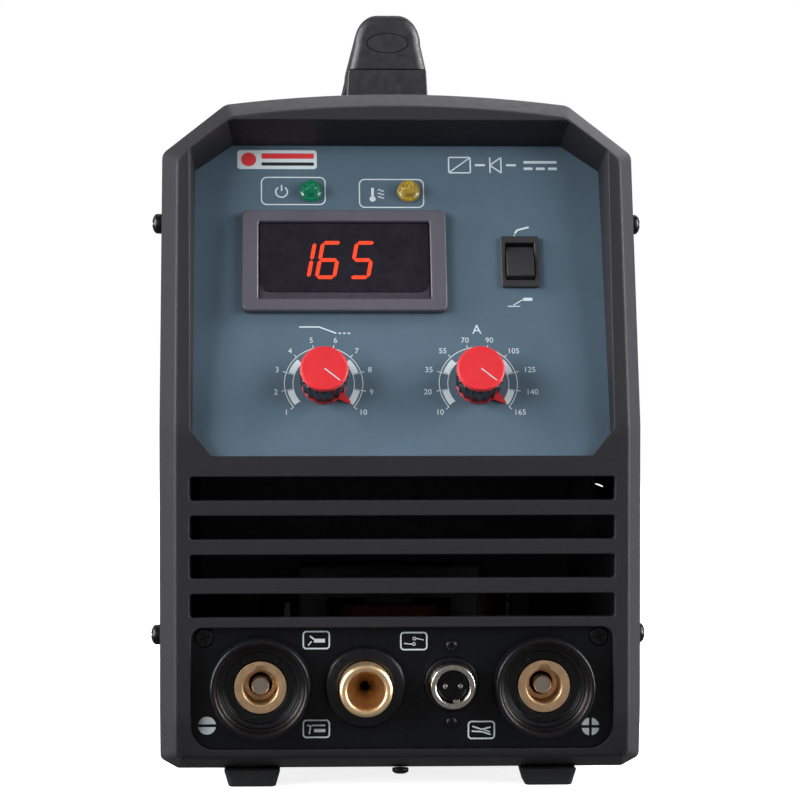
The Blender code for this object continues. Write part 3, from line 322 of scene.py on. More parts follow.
def zinc(name):
    """Zinc-plated sheet with a faint spangle and rolling lines."""
    made = Shader(name, metallic=1.0)
    made.colours(made.voronoi(160), [(0.2, (0.40, 0.41, 0.42)), (0.8, (0.60, 0.61, 0.62))])
    made.roughness(made.noise(120), 0.34, 0.52)
    made.bump(made.noise(700, stretch=(1, 0.08, 1)), 0.00002)
    return made.material


def board(name):
    """Green solder mask over tracks."""
    made = Shader(name, roughness=0.4)
    made.colours(
        made.voronoi(90, "Distance"),
        [(0.1, (0.004, 0.040, 0.015)), (0.35, (0.008, 0.075, 0.028)), (0.6, (0.005, 0.055, 0.020))],
    )
    made.bump(made.voronoi(90, "Distance"), 0.0001)
    return made.material


def jewel(name, colour, glow):
    """Translucent lens of an indicator lamp."""
    made = Shader(
        name, transmission_weight=0.35, ior=1.49, coat_weight=0.5, coat_roughness=0.06,
        emission_color=(*glow, 1), emission_strength=0.10, subsurface_weight=0.2,
        subsurface_scale=0.002,
    )
    made.mottle(colour, 700, 0.25)
    made.roughness(made.noise(1500), 0.10, 0.22)
    made.bump(made.noise(900), 0.00005)
    return made.material


def smoked(name):
    """Dark tinted window with faint dust on it."""
    made = Shader(name, coat_weight=0.15, coat_roughness=0.08, specular_ior_level=0.30)
    made.colours(
        made.noise(180, detail=8, roughness=0.7),
        [(0.35, linear(22, 19, 27)), (0.75, linear(34, 31, 40))],
    )
    made.roughness(made.noise(1300, detail=5), 0.16, 0.36)
    made.bump(made.noise(90), 0.00003)
    return made.material


def lit(name, colour, strength):
    """Glowing display segment, a little brighter in some places than in others."""
    made = Shader(name, base_color=(0.2, 0.0, 0.0, 1), roughness=0.3, emission_strength=strength)
    ramp = made.node("ShaderNodeValToRGB")
    ramp.color_ramp.elements[0].color = (*(c * 0.86 for c in colour), 1)
    ramp.color_ramp.elements[1].color = (*colour, 1)
    made.wire(made.noise(1400), ramp.inputs["Fac"])
    made.wire(ramp.outputs["Color"], made.shader.inputs["Emission Color"])
    return made.material


CASE = moulding(
    "charcoal_moulding", linear(29, 28, 33), 0.56, 0.62, depth=0.00010, amount=0.03,
    specular_ior_level=0.28,
)
HANDLE = moulding("handle_moulding", linear(25, 24, 28), 0.40, 0.56, grain=1900, depth=0.00006)
PAINT = moulding(
    "panel_paint", linear(77, 96, 111), 0.42, 0.54, grain=900, depth=0.00002, amount=0.03,
    specular_ior_level=0.30,
)
PLATE = moulding(
    "output_plate", linear(9, 10, 14), 0.24, 0.36, grain=2200, depth=0.00001,
    specular_ior_level=0.28,
)
COVER = moulding("cover_powder_coat", linear(33, 33, 35), 0.50, 0.56, grain=1100, depth=0.00012, amount=0.03)
BLACK = moulding(
    "black_plastic", linear(12, 12, 15), 0.26, 0.40, grain=2400, depth=0.00002,
    specular_ior_level=0.30,
)
SATIN_BLACK = moulding("satin_black", linear(26, 26, 29), 0.36, 0.50, grain=2400, depth=0.00003)
SWITCH_GREY = moulding("switch_plastic", linear(44, 43, 47), 0.34, 0.46, grain=2400, depth=0.00003)
KNOB_BLACK = moulding("knob_black", linear(16, 16, 18), 0.18, 0.30, grain=2600, depth=0.00001)
METER_GREY = moulding("meter_plastic", linear(78, 76, 86), 0.36, 0.48, grain=2200, depth=0.00002, amount=0.05)
METER_LEDGE = moulding("meter_ledge", linear(56, 52, 62), 0.25, 0.38, grain=2200, depth=0.00001)
RED = moulding("cap_red", linear(190, 34, 42), 0.34, 0.46, grain=2400, depth=0.00002, amount=0.05)
RUBBER = moulding("rubber", linear(20, 21, 24), 0.70, 0.90, grain=900, depth=0.00008)
HOSE = moulding("blue_hose", linear(60, 124, 170), 0.35, 0.55, grain=700, depth=0.00004)
SLEEVE = moulding("capacitor_sleeve", linear(38, 48, 75), 0.28, 0.42, grain=600, depth=0.00002)
FERRITE = moulding("ferrite", linear(68, 67, 67), 0.55, 0.75, grain=500, depth=0.00008)
PRINT = moulding("pale_print", linear(196, 208, 214), 0.42, 0.55, grain=2400, depth=0.00001, amount=0.04)
PRINT_RED = moulding("red_print", linear(205, 52, 56), 0.42, 0.55, grain=2400, depth=0.00001, amount=0.04)
PRINT_DARK = moulding("dark_print", linear(30, 30, 34), 0.42, 0.55, grain=2400, depth=0.00001, amount=0.04)
BRASS = turned_metal("turned_brass", (0.86, 0.62, 0.36), 0.36, 0.44, depth=0.000002, amount=0.05)
BRASS_DULL = turned_metal("dull_brass", (0.78, 0.52, 0.30), 0.34, 0.48)
NICKEL = turned_metal("nickel_plate", (0.60, 0.56, 0.51), 0.16, 0.30)
PIN_END = turned_metal("pin_end", (0.52, 0.46, 0.40), 0.26, 0.42, spacing=0.0006, depth=0.00002)
BLACK_STEEL = turned_metal("black_oxide", (0.030, 0.030, 0.032), 0.30, 0.45)
ALUMINIUM = turned_metal("aluminium", (0.70, 0.71, 0.72), 0.30, 0.45)
# Copper of the windings and the arc starter's coil, darkened below its own colour as painted shade for where
# it sits deep in the case behind the front slots.
SHADE_DARKENED_COPPER = turned_metal("enamelled_copper_with_painted_shade", (0.12, 0.045, 0.02), 0.30, 0.45, spacing=0.0012, depth=0.0001)
ZINC = zinc("zinc_sheet")
BOARD = board("circuit_board")
GREEN_JEWEL = jewel("green_jewel", (0.000, 0.170, 0.080), (0.0, 0.4, 0.2))
AMBER_JEWEL = jewel("amber_jewel", (0.420, 0.300, 0.045), (0.5, 0.34, 0.03))
SMOKED = smoked("smoked_window")
LIT = lit("lit_segment", (1.0, 0.085, 0.028), 1.0)


# ---------------------------------------------------------------- mesh helpers
def solid(name, bm, place=GROUND):
    bmesh.ops.recalc_face_normals(bm, faces=bm.faces)
    mesh = bpy.data.meshes.new(name)
    bm.to_mesh(mesh)
    bm.free()
    obj = bpy.data.objects.new(name, mesh)
    obj.matrix_world = place
    bpy.context.scene.collection.objects.link(obj)
    return obj


def prism(name, outline, low, high, place=GROUND):
    """A flat outline made solid between two heights out of its face."""
    bm = bmesh.new()
    face = bm.faces.new([bm.verts.new((x, v, low)) for x, v in outline])
    made = bmesh.ops.extrude_face_region(bm, geom=[face])["geom"]
    moved = [item for item in made if isinstance(item, bmesh.types.BMVert)]
    bmesh.ops.translate(bm, verts=moved, vec=(0, 0, high - low))
    return solid(name, bm, place)


def loft(name, rings, place=GROUND):
    """A solid through rings of one count that each mirror left to right."""
    bm = bmesh.new()
    rows = [[bm.verts.new(point) for point in ring] for ring in rings]
    skin(bm, rows)
    for row in (rows[0], rows[-1]):
        cap_in_strips(bm, row)
    return solid(name, bm, place)


def skin(bm, rows):
    """Joins closed rows of corners, each to the next, with four-sided faces."""
    count = len(rows[0])
    for near, far in zip(rows, rows[1:]):
        for i in range(count):
            j = (i + 1) % count
            bm.faces.new((near[i], near[j], far[j], far[i]))


def cap_in_strips(bm, row):
    """Closes a mirrored ring with level strips, so that a bend across it stays straight."""
    count, top = len(row), len(row) // 2
    level = 0.00001
    cuts = [0]
    for i in range(1, top):
        if row[i].co.y - row[cuts[-1]].co.y > level < row[top].co.y - row[i].co.y:
            cuts.append(i)
    for low, high in zip(cuts, [*cuts[1:], top]):
        left = [row[(count - i) % count] for i in range(high, low - 1, -1)]
        bm.faces.new(list(dict.fromkeys(row[low : high + 1] + left)))


def block(name, low, high, place=GROUND):
    x0, y0, z0 = low
    x1, y1, z1 = high
    return prism(name, [(x0, y0), (x1, y0), (x1, y1), (x0, y1)], z0, z1, place)


def softened(profile, soft, ring):
    """A turned profile with each corner worn round by a small radius."""
    points = []
    last = len(profile) - 1
    for i, point in enumerate(profile):
        if not ring and i in (0, last):
            points.append(point)
            continue
        here = Vector(point)
        before, after = Vector(profile[i - 1]), Vector(profile[(i + 1) % len(profile)])
        a, b = before - here, after - here
        if a.angle(b) > math.radians(160):
            points.append(point)
            continue
        reach = min(soft, a.length * 0.45, b.length * 0.45)
        start, end = here + a.normalized() * reach, here + b.normalized() * reach
        for t in (0, 1 / 3, 2 / 3, 1):
            points.append(tuple(start * (1 - t) ** 2 + here * (2 * t * (1 - t)) + end * t**2))
    return points


def lathe(name, profile, place, steps=72, ring=False, soft=0.00025):
    """A profile of (radius, height) turned about the face's outward axis."""
    bm = bmesh.new()
    rows = []
    for radius, height in softened(profile, soft, ring):
        if radius < 1e-7:
            rows.append([bm.verts.new((0, 0, height))] * steps)
            continue
        turns = [2 * math.pi * i / steps for i in range(steps)]
        rows.append([bm.verts.new((radius * math.cos(t), radius * math.sin(t), height)) for t in turns])
    pairs = list(zip(rows, rows[1:]))
    if ring:
        pairs.append((rows[-1], rows[0]))
    for near, far in pairs:
        for i in range(steps):
            j = (i + 1) % steps
            corners = list(dict.fromkeys((near[i], near[j], far[j], far[i])))
            if len(corners) > 2:
                bm.faces.new(corners)
    return solid(name, bm, place)


def settle(obj):
    """Writes an object's modifiers into its mesh."""
    bpy.context.view_layer.update()
    evaluated = obj.evaluated_get(bpy.context.evaluated_depsgraph_get())
    mesh = bpy.data.meshes.new_from_object(evaluated)
    obj.modifiers.clear()
    obj.data = mesh


def boolean(target, operation, others):
    for other in others:
        modifier = target.modifiers.new(operation, "BOOLEAN")
        modifier.operation = operation
        modifier.object = other
    settle(target)
    for other in others:
        bpy.data.objects.remove(other)


def cut(target, *others):
    boolean(target, "DIFFERENCE", others)


def unite(target, *others):
    boolean(target, "UNION", others)


def round_edges(obj, width, segments=2, angle=30):
    """Rounds the sharp edges of a piece, after flat neighbours are merged."""
    bm = bmesh.new()
    bm.from_mesh(obj.data)
    bmesh.ops.remove_doubles(bm, verts=bm.verts, dist=0.000002)
    bmesh.ops.dissolve_limit(
        bm, angle_limit=math.radians(0.4), verts=bm.verts, edges=bm.edges
    )
    bm.to_mesh(obj.data)
    bm.free()
    obj.data.shade_smooth()
    bevel = obj.modifiers.new("rounded", "BEVEL")
    bevel.width = width
    bevel.segments = segments
    bevel.limit_method = "ANGLE"
    bevel.angle_limit = math.radians(angle)
    bevel.use_clamp_overlap = False
    bevel.miter_outer = "MITER_ARC"
    weigh(obj)


def weigh(obj):
    """Shades the flats flat and the rounds round."""
    normals = obj.modifiers.new("weighted", "WEIGHTED_NORMAL")
    normals.keep_sharp = True
    normals.weight = 100
    settle(obj)


def piece(obj, finish, body="case", nodes=(), sharp=38):
    """Hands an object over as a visible piece of the machine."""
    obj.data.materials.clear()
    obj.data.materials.append(finish)
    if sharp:
        obj.data.shade_smooth()
        obj.data.set_sharp_from_angle(angle=math.radians(sharp))
    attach(obj, body)
    if nodes:
        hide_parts(*nodes)
    return obj


def moulded(obj, radius, segments, angle, finish, node=None):
    """A visible piece with its edges rounded."""
    round_edges(obj, radius, segments, angle)
    piece(obj, finish, nodes=[node] if node else (), sharp=0)


def turned(name, profile, place, steps, soft, finish, slot, node=None, ring=False, sharp=40):
    """A visible piece turned from a profile."""
    made = lathe(name, profile, place, steps, ring, soft)
    piece(made, finish, nodes=[node] if node else (), sharp=sharp)


# ---------------------------------------------------------------- outlines
def cross_outline(arm, reach):
    """A cross whose bars are twice the arm wide and reach from its middle."""
    quarter = [(arm, -reach), (arm, -arm), (reach, -arm)]
    points = []
    for _ in range(4):
        points += quarter
        quarter = [(-y, x) for x, y in quarter]
    return points


def fillet(before, corner, after, radius, steps=6):
    """Points of the arc that rounds one corner of an outline."""
    corner = Vector(corner)
    to_before = (Vector(before) - corner).normalized()
    to_after = (Vector(after) - corner).normalized()
    half = to_before.angle(to_after) / 2
    middle = corner + (to_before + to_after).normalized() * radius / math.sin(half)
    start = corner + to_before * radius / math.tan(half) - middle
    end = corner + to_after * radius / math.tan(half) - middle
    turn = start.angle_signed(end)
    return [tuple(middle + Matrix.Rotation(-turn * i / steps, 2) @ start) for i in range(steps + 1)]


def rounded(corners, radii, steps=6):
    """A closed outline with each corner rounded by its own radius."""
    points = []
    for i, corner in enumerate(corners):
        before, after = corners[i - 1], corners[(i + 1) % len(corners)]
        points += fillet(before, corner, after, radii[i], steps) if radii[i] else [corner]
    return points


def rectangle(half_x, low, high):
    return [(-half_x, low), (half_x, low), (half_x, high), (-half_x, high)]


def rounded_rectangle(width, height, radius, centre=(0, 0), steps=6):
    x, v = centre
    corners = [(x + cx, v + cv) for cx, cv in rectangle(width / 2, -height / 2, height / 2)]
    return rounded(corners, [radius] * 4, steps)


def circle(radius, steps=48, centre=(0, 0)):
    return arc(radius, 0, 360 - 360 / steps, steps - 1, centre)


def arc(radius, start, end, steps, centre=(0, 0)):
    """Points from one angle to another, in degrees clockwise from straight up."""
    x, v = centre
    turns = [math.radians(start + (end - start) * i / steps) for i in range(steps + 1)]
    return [(x + radius * math.sin(t), v + radius * math.cos(t)) for t in turns]


def shrink(chain, inset):
    """An open chain of corners moved in to its left by the inset, mitred."""
    points = [Vector(p) for p in chain]
    sides = [(b - a).normalized() for a, b in zip(points, points[1:])]
    normals = [Vector((-side.y, side.x)) for side in sides]
    moved = [points[0] + normals[0] * inset]
    for point, first, second in zip(points[1:-1], normals, normals[1:]):
        moved.append(point + (first + second) * inset / (1 + first.dot(second)))
    moved.append(points[-1] + normals[-1] * inset)
    return [tuple(p) for p in moved]


LEVELS = (
    TUCK_Z - 0.003,
    TUCK_Z + 0.003,
    PANEL_FOOT_Z - 0.002,
    *(KINK_Z + KINK_BLEND * share for share in (-1, -0.5, 0, 0.5, 1)),
)


def hood(inset=0.0, top=TOP_EDGE_Z, crown=CROWN):
    """The case's outline, from the bottom's middle round to the left and back, inset."""
    half = WIDTH / 2
    chain = [
        (0, BOTTOM_Z),
        (half - TOE[0], BOTTOM_Z),
        (half, BOTTOM_Z + TOE[1]),
        (half, SHOULDER_Z - (TOP_EDGE_Z - top) * 0.6),
        (SHOULDER_X, top),
        (0, top),
    ]
    middle, toe, heel, shoulder, ridge, peak = shrink(chain, inset)
    right = [middle]
    right += fillet(middle, toe, heel, 0.0020, 3)
    right += fillet(toe, heel, shoulder, 0.0025, 5)
    right += [(heel[0], level) for level in LEVELS]
    right += fillet(heel, shoulder, ridge, 0.0040, 7)
    right += fillet(shoulder, ridge, peak, 0.0040, 4)
    right += [(ridge[0] * share, peak[1]) for share in (0.84, 0.7, 0.56, 0.42, 0.28, 0.14, 0)]
    right = [
        (x, v + crown * max(0.0, 1 - (x / ridge[0]) ** 2) * (v > KINK_Z)) for x, v in right
    ]
    return right + [(-x, v) for x, v in reversed(right[1:-1])]


def lean(z):
    """How far the front face lies behind its foremost plane at a height."""
    above = z - KINK_Z
    slope = math.tan(LEAN)
    if above > KINK_BLEND:
        return above * slope
    if above > -KINK_BLEND:
        return (above + KINK_BLEND) ** 2 / (4 * KINK_BLEND) * slope
    return max(0.0, TUCK_Z - z) * math.tan(TUCK)


def panel_depth(z):
    """How far the control panel's plane lies behind the foremost plane."""
    return PANEL_SETBACK + (z - PANEL_FOOT_Z) * math.tan(PANEL_TILT)


def face_ring(outline, depth):
    """An outline behind the front face, by a depth that may vary with height."""
    return [(x, z, -depth(z) if callable(depth) else -depth) for x, z in outline]


def panel_outline(margin=0.0, draft=0.0):
    """The control panel's outline: a rectangle with its four corners cut off."""
    x = PANEL_HALF + margin + draft
    low, high = -margin - draft * 0.15, PANEL_HEIGHT + margin
    foot_x, foot_v = PANEL_FOOT_CHAMFER
    head_x, head_v = PANEL_HEAD_CHAMFER
    right = [
        (0, low), (x - foot_x, low), (x, low + foot_v),
        (x, high - head_v), (x - head_x, high), (0, high),
    ]
    return right + [(-a, b) for a, b in reversed(right[1:-1])]


# ---------------------------------------------------------------- printed marks
class Ink:
    """Printed marks gathered into one thin piece, drawn in a face's own axes."""

    def __init__(self, name, place):
        self.name, self.place, self.bm = name, place, bmesh.new()

    def fill(self, outline):
        self.bm.faces.new([self.bm.verts.new((x, v, INK_LIFT)) for x, v in outline])

    def line(self, points, width, closed=False):
        """A ribbon of one width along a run of points, mitred at its corners."""
        run = [Vector(p) for p in points]
        count = len(run)
        left, right = [], []
        for i, point in enumerate(run):
            before = run[i - 1] if i or closed else None
            after = run[(i + 1) % count] if i < count - 1 or closed else None
            sides = []
            if before is not None:
                sides.append((point - before).normalized())
            if after is not None:
                sides.append((after - point).normalized())
            normals = [Vector((-side.y, side.x)) for side in sides]
            first, second = normals[0], normals[-1]
            offset = (first + second) * (width / 2) / max(0.35, 1 + first.dot(second))
            left.append(self.bm.verts.new((*(point + offset), INK_LIFT)))
            right.append(self.bm.verts.new((*(point - offset), INK_LIFT)))
        for i in range(count if closed else count - 1):
            j = (i + 1) % count
            self.bm.faces.new((right[i], right[j], left[j], left[i]))

    def strokes(self, x, v, *runs):
        """Ribbons given as a width and then points from one place."""
        for width, *points in runs:
            self.line([(x + a, v + b) for a, b in points], width)

    def text(self, words, size, x, v):
        """Plain figures or a unit letter, centred on a point."""
        curve = bpy.data.curves.new(self.name, "FONT")
        curve.body = words
        curve.size = size
        curve.align_x = "CENTER"
        curve.align_y = "CENTER"
        curve.resolution_u = 3
        obj = bpy.data.objects.new(self.name, curve)
        mesh = obj.to_mesh()
        points = [self.bm.verts.new((x + p.co.x, v + p.co.y, INK_LIFT)) for p in mesh.vertices]
        for polygon in mesh.polygons:
            self.bm.faces.new([points[i] for i in polygon.vertices])
        obj.to_mesh_clear()
        bpy.data.objects.remove(obj)
        bpy.data.curves.remove(curve)

    def done(self, finish, body="case"):
        bmesh.ops.remove_doubles(self.bm, verts=self.bm.verts, dist=0.000001)
        made = bmesh.ops.extrude_face_region(self.bm, geom=self.bm.faces[:])["geom"]
        moved = [item for item in made if isinstance(item, bmesh.types.BMVert)]
        bmesh.ops.translate(self.bm, verts=moved, vec=(0, 0, INK))
        return piece(solid(self.name, self.bm, self.place), finish, body)


# ---------------------------------------------------------------- casing
def spigot_ring(depth):
    return face_ring(hood(COVER_INSET + SHEET + GAP, COVER_TOP_Z - SHEET - GAP, 0.0), depth)


def cavity(name, low, high, top=COVER_TOP_Z - 0.0030):
    inside = hood(CAVITY_INSET, top, 0.0)
    return loft(name, [face_ring(inside, low), face_ring(inside, high)], FRONT)


LIP = (
    # The worn-round front edge of the flare: inset beyond the flare, and depth.
    (0.0012, 0.0000),
    (0.0006, 0.0001),
    (0.0002, 0.0004),
    (-0.0003, 0.0012),
)


def front_bezel():
    rings = [
        face_ring(hood(FLARE + inset), lambda z, back=back: lean(z) + back) for inset, back in LIP
    ]
    shell = loft(
        "front_bezel_moulding",
        [
            *rings,
            face_ring(hood(0.0002), lambda z: lean(z) + FLARE_DEPTH - 0.0006),
            face_ring(hood(0.0), lambda z: lean(z) + FLARE_DEPTH + 0.0006),
            face_ring(hood(0.0), BEZEL_DEPTH),
            spigot_ring(BEZEL_DEPTH),
            spigot_ring(BEZEL_DEPTH + SPIGOT),
        ],
        FRONT,
    )
    behind = PANEL_SHEET + 0.0007
    hollow = cavity(
        "bezel_cavity",
        lambda z: max(FRONT_WALL, panel_depth(z) + behind),
        BEZEL_DEPTH + SPIGOT + 0.002,
    )
    window = loft(
        "panel_window",
        [
            [(x, v, -0.001) for x, v in panel_outline()],
            [(x, v, 0.030) for x, v in panel_outline(draft=OPENING_DRAFT)],
        ],
        PANEL,
    )
    seat = prism("panel_seat", panel_outline(PANEL_MARGIN + 0.0004), -0.0045, GAP, PANEL)
    recess = prism(
        "output_recess",
        rounded(rectangle(RECESS_HALF, *RECESS_Z), RECESS_CORNERS, 8),
        -OUTPUT_DEPTH - 0.001, 0.004, FRONT,
    )
    slots = [
        prism(
            f"vent_slot_{i + 1}",
            rounded_rectangle(
                SLOT_HALF * 2, SLOT_HEIGHT, 0.0012, (0, FIRST_SLOT_Z + i * SLOT_PITCH), 4
            ),
            -FRONT_WALL - 0.002, 0.004, FRONT,
        )
        for i in range(SLOTS)
    ]
    cut(shell, hollow, seat, window, recess, *slots)
    moulded(shell, 0.00045, 2, 30, CASE, "front_bezel")


def rear_bezel():
    start = BODY_LENGTH - REAR_BEZEL_DEPTH
    shell = loft(
        "rear_bezel_moulding",
        [
            spigot_ring(start - SPIGOT),
            spigot_ring(start),
            face_ring(hood(0.0), start),
            face_ring(hood(0.0), BODY_LENGTH - FLARE_DEPTH / 2),
            *(face_ring(hood(FLARE + inset), BODY_LENGTH - back) for inset, back in reversed(LIP)),
        ],
        FRONT,
    )
    width, height = POWER_SWITCH_SIZE
    switch = rounded_rectangle(width - 0.0034, height - 0.0034, 0.0005, POWER_SWITCH, 2)
    cutters = [
        cavity("rear_cavity", start - SPIGOT - 0.002, BODY_LENGTH - WALL),
        prism("power_switch_hole", switch, -WALL - 0.003, 0.003, REAR),
        *(
            prism("round_hole", circle(radius, 40, centre), -WALL - 0.003, 0.003, REAR)
            for centre, radius in ((GLAND, 0.0083), (GAS_INLET, 0.0063), (EARTH_BOLT, 0.0033))
        ),
        *fan_grille(),
    ]
    cut(shell, *cutters)
    moulded(shell, 0.0004, 2, 30, CASE, "rear_bezel")


def fan_grille():
    """Cutters for the rows of slots over the fan."""
    pitch = 2 * GRILLE_RADIUS / GRILLE_ROWS
    cutters = []
    for row in range(GRILLE_ROWS):
        v = -GRILLE_RADIUS + pitch * (row + 0.5)
        half = math.sqrt(GRILLE_RADIUS**2 - v**2)
        low, high = FAN_Z + v - pitch / 2 + GRILLE_RIB / 2, FAN_Z + v + pitch / 2 - GRILLE_RIB / 2
        ribs = [rib for rib in (-GRILLE_RIB_X, GRILLE_RIB_X) if abs(rib) < half - GRILLE_RIB]
        starts = [-half, *(rib + GRILLE_RIB / 2 for rib in ribs)]
        ends = [*(rib - GRILLE_RIB / 2 for rib in ribs), half]
        for left, right in zip(starts, ends):
            corners = [(left, low), (right, low), (right, high), (left, high)]
            slot = rounded(corners, [0.0012] * 4, 3)
            cutters.append(prism("grille_slot", slot, -WALL - 0.003, 0.003, REAR))
    return cutters


def top_cover():
    """A folded sheet over the top and sides, with pressed louvres low on each side."""
    start = FRONT_Y + BEZEL_DEPTH + GAP
    end = REAR_Y - REAR_BEZEL_DEPTH - GAP
    outer = hood(COVER_INSET, COVER_TOP_Z, 0.0)
    inside = hood(COVER_INSET + SHEET, COVER_TOP_Z - SHEET, 0.0)
    near, far = start - FRONT_Y, end - FRONT_Y
    cover = loft("folded_cover", [face_ring(outer, near), face_ring(outer, far)], FRONT)
    hollow = loft(
        "cover_inside", [face_ring(inside, near - 0.002), face_ring(inside, far + 0.002)], FRONT
    )
    gap = block("cover_bottom_gap", (-0.062, start - 0.002, 0), (0.062, end + 0.002, BOTTOM_Z + 0.006))
    cutters = [hollow, gap]
    for depth in LOUVRE_DEPTHS:
        for i in range(LOUVRES):
            z = FIRST_LOUVRE_Z + i * LOUVRE_PITCH
            middle = (FRONT_Y + depth + LOUVRE_LENGTH / 2, z + LOUVRE_HEIGHT / 2)
            slot = rounded_rectangle(LOUVRE_LENGTH, LOUVRE_HEIGHT, 0.0018, middle, 4)
            cutters.append(prism("louvre_slot", slot, -WIDTH, WIDTH, RIGHT))
    cut(cover, *cutters)
    moulded(cover, 0.0003, 2, 30, COVER, "top_cover")
    for side, place, sign in (("left", LEFT, -1), ("right", RIGHT, 1)):
        for group, depth in enumerate(LOUVRE_DEPTHS):
            louvre_hoods(f"louvre_hoods_{side}_{group + 1}", place, sign, depth)


def louvre_hoods(name, place, sign, depth):
    """The pressed lips that stand over one group of louvre slots."""
    face = WIDTH / 2 - COVER_INSET
    reach, rise, along = 0.0014, 0.0056, 14
    bm = bmesh.new()
    for i in range(LOUVRES):
        foot = FIRST_LOUVRE_Z + i * LOUVRE_PITCH + 0.0006
        rows = []
        for j in range(along + 1):
            share = j / along
            swell = min(1.0, math.sin(math.pi * share) * 3.2) ** 0.5 if 0 < share < 1 else 0.0
            y = (FRONT_Y + depth + 0.0006 + (LOUVRE_LENGTH - 0.0012) * share) * sign
            arch = []
            for k in range(7):
                turn = math.radians(90) * k / 6
                arch.append((y, foot + rise * math.sin(turn), face + reach * swell * math.cos(turn)))
            lining = [(a, b - 0.0005, c - 0.0006 - 0.0002 * swell) for a, b, c in reversed(arch)]
            rows.append([bm.verts.new(point) for point in arch + lining])
        skin(bm, rows)
        for row in (rows[0], rows[-1]):
            bm.faces.new(row)
    piece(solid(name, bm, place), COVER)


def feet():
    outline = rounded_rectangle(FOOT_SIDE, FOOT_SIDE, FOOT_CORNER, steps=8)
    for end, y in (("front", FRONT_Y + FOOT_SETBACK), ("rear", REAR_Y - FOOT_SETBACK)):
        for side, x in (("left", -FOOT_X), ("right", FOOT_X)):
            place = Matrix.Translation((x, y, 0))
            foot = prism(f"rubber_foot_{end}_{side}", outline, 0, BOTTOM_Z - GAP, place)
            for vertex in foot.data.vertices:
                if vertex.co.z < 0.001:
                    vertex.co.x *= FOOT_TAPER
                    vertex.co.y *= FOOT_TAPER
            cut(foot, prism("foot_hollow", circle(0.0030), -0.001, 0.0025, place))
            moulded(foot, 0.0005, 3, 40, RUBBER, f"foot_{end}_{side}")


def cross_head(name, place, radius, height, stem_radius, stem, recess, nodes):
    """A pan-headed screw with a cross recess; its seat is at height 0."""
    dome = [
        (radius * math.sin(t), height * (0.45 + 0.55 * math.cos(t)))
        for t in (math.radians(90) * i / 6 for i in range(1, 7))
    ]
    screw = lathe(
        name,
        [(0, height), *dome, (radius, 0), (stem_radius, 0), (stem_radius, -stem), (0, -stem)],
        place, 40, soft=0.0001,
    )
    cross = cross_outline(recess * 0.20, recess)
    cut(screw, prism("cross", cross, height * 0.30, height + 0.002, place))
    piece(screw, BLACK_STEEL, nodes=nodes, sharp=30)


def side_screws():
    half = WIDTH / 2 + GAP
    for level, depth, z in zip(("lower", "upper"), SIDE_SCREW_DEPTHS, SIDE_SCREW_Z):
        for side, place, sign in (("left", LEFT, -1), ("right", RIGHT, 1)):
            where = at(place, (FRONT_Y + depth) * sign, z, half)
            node = f"side_screw_{level}_{side}"
            cross_head(f"{node}_head", where, *SIDE_HEAD, 0.0045, 0.0022, [node])
    seat = (0, FRONT_Y + UNDERSIDE_SCREW_DEPTH, BOTTOM_Z - GAP)
    down = frame_of((1, 0, 0), (0, -1, 0), (0, 0, -1), seat)
    cross_head(
        "underside_screw_head", down, 0.0029, 0.0021, 0.0014, -GAP, 0.0018, ["underside_screw"]
    )


# ---------------------------------------------------------------- handle
def handle_section(low):
    """Grip section: sides that close in upward, round shoulders and a flat top."""
    spring_x, spring_z = HANDLE_SHOULDER
    slope = (HANDLE_HALF - spring_x) / (spring_z - HANDLE_SPLIT_Z)
    right = [(spring_x + slope * (spring_z - low), low)]
    steps = 14
    for i in range(steps + 1):
        turn = math.radians(90) * i / steps
        right.append(
            (
                HANDLE_FLAT + (spring_x - HANDLE_FLAT) * math.cos(turn),
                spring_z + (HANDLE_TOP_Z - spring_z) * math.sin(turn),
            )
        )
    return right + [(-x, z) for x, z in reversed(right)]


def handle():
    near, far = -HANDLE_FRONT, -HANDLE_FRONT - HANDLE_LENGTH
    low = HANDLE_SPLIT_Z + GAP / 2
    upper = prism("handle_grip", handle_section(low - 0.008), far, near, FRONT)
    round_edges(upper, HANDLE_ROUNDING, 8, 50)
    cut(upper, block("handle_below", (-0.03, FRONT_Y, low - 0.02), (0.03, REAR_Y, low)))
    centre = HANDLE_SPLIT_Z + 0.0101
    outer, inner = (
        [(x * wide, centre + v * tall) for x, v in circle(1.0)]
        for wide, tall in ((0.0083, 0.0040), (0.0079, 0.0036))
    )
    groove = prism("oval_groove", outer, near - 0.0006, near + 0.003, FRONT)
    cut(groove, prism("oval_island", inner, near - 0.001, near + 0.004, FRONT))
    cut(upper, groove)
    upper.data.shade_smooth()
    upper.data.set_sharp_from_angle(angle=math.radians(34))
    weigh(upper)
    piece(upper, HANDLE, nodes=["handle_upper"], sharp=0)

    base, top = COVER_TOP_Z + GAP, HANDLE_SPLIT_Z - GAP / 2
    foot, half = HANDLE_FOOT_HALF, HANDLE_HALF
    sides = [(-foot, base), (foot, base), (half, top), (-half, top)]
    lower = prism("handle_base", sides, far, near, FRONT)
    finger = rounded(
        [
            (far + HANDLE_LEG, base - 0.01), (near - HANDLE_LEG, base - 0.01),
            (near - HANDLE_LEG + 0.004, GRIP_UNDER_Z), (far + HANDLE_LEG - 0.004, GRIP_UNDER_Z),
        ],
        (0, 0, 0.008, 0.008), 10,
    )
    flipped = [(-y, z) for y, z in reversed(finger)]
    cut(lower, prism("finger_gap", flipped, -0.03, 0.03, at(RIGHT, FRONT_Y, 0)))
    moulded(lower, 0.0005, 3, 40, HANDLE, "handle_lower")


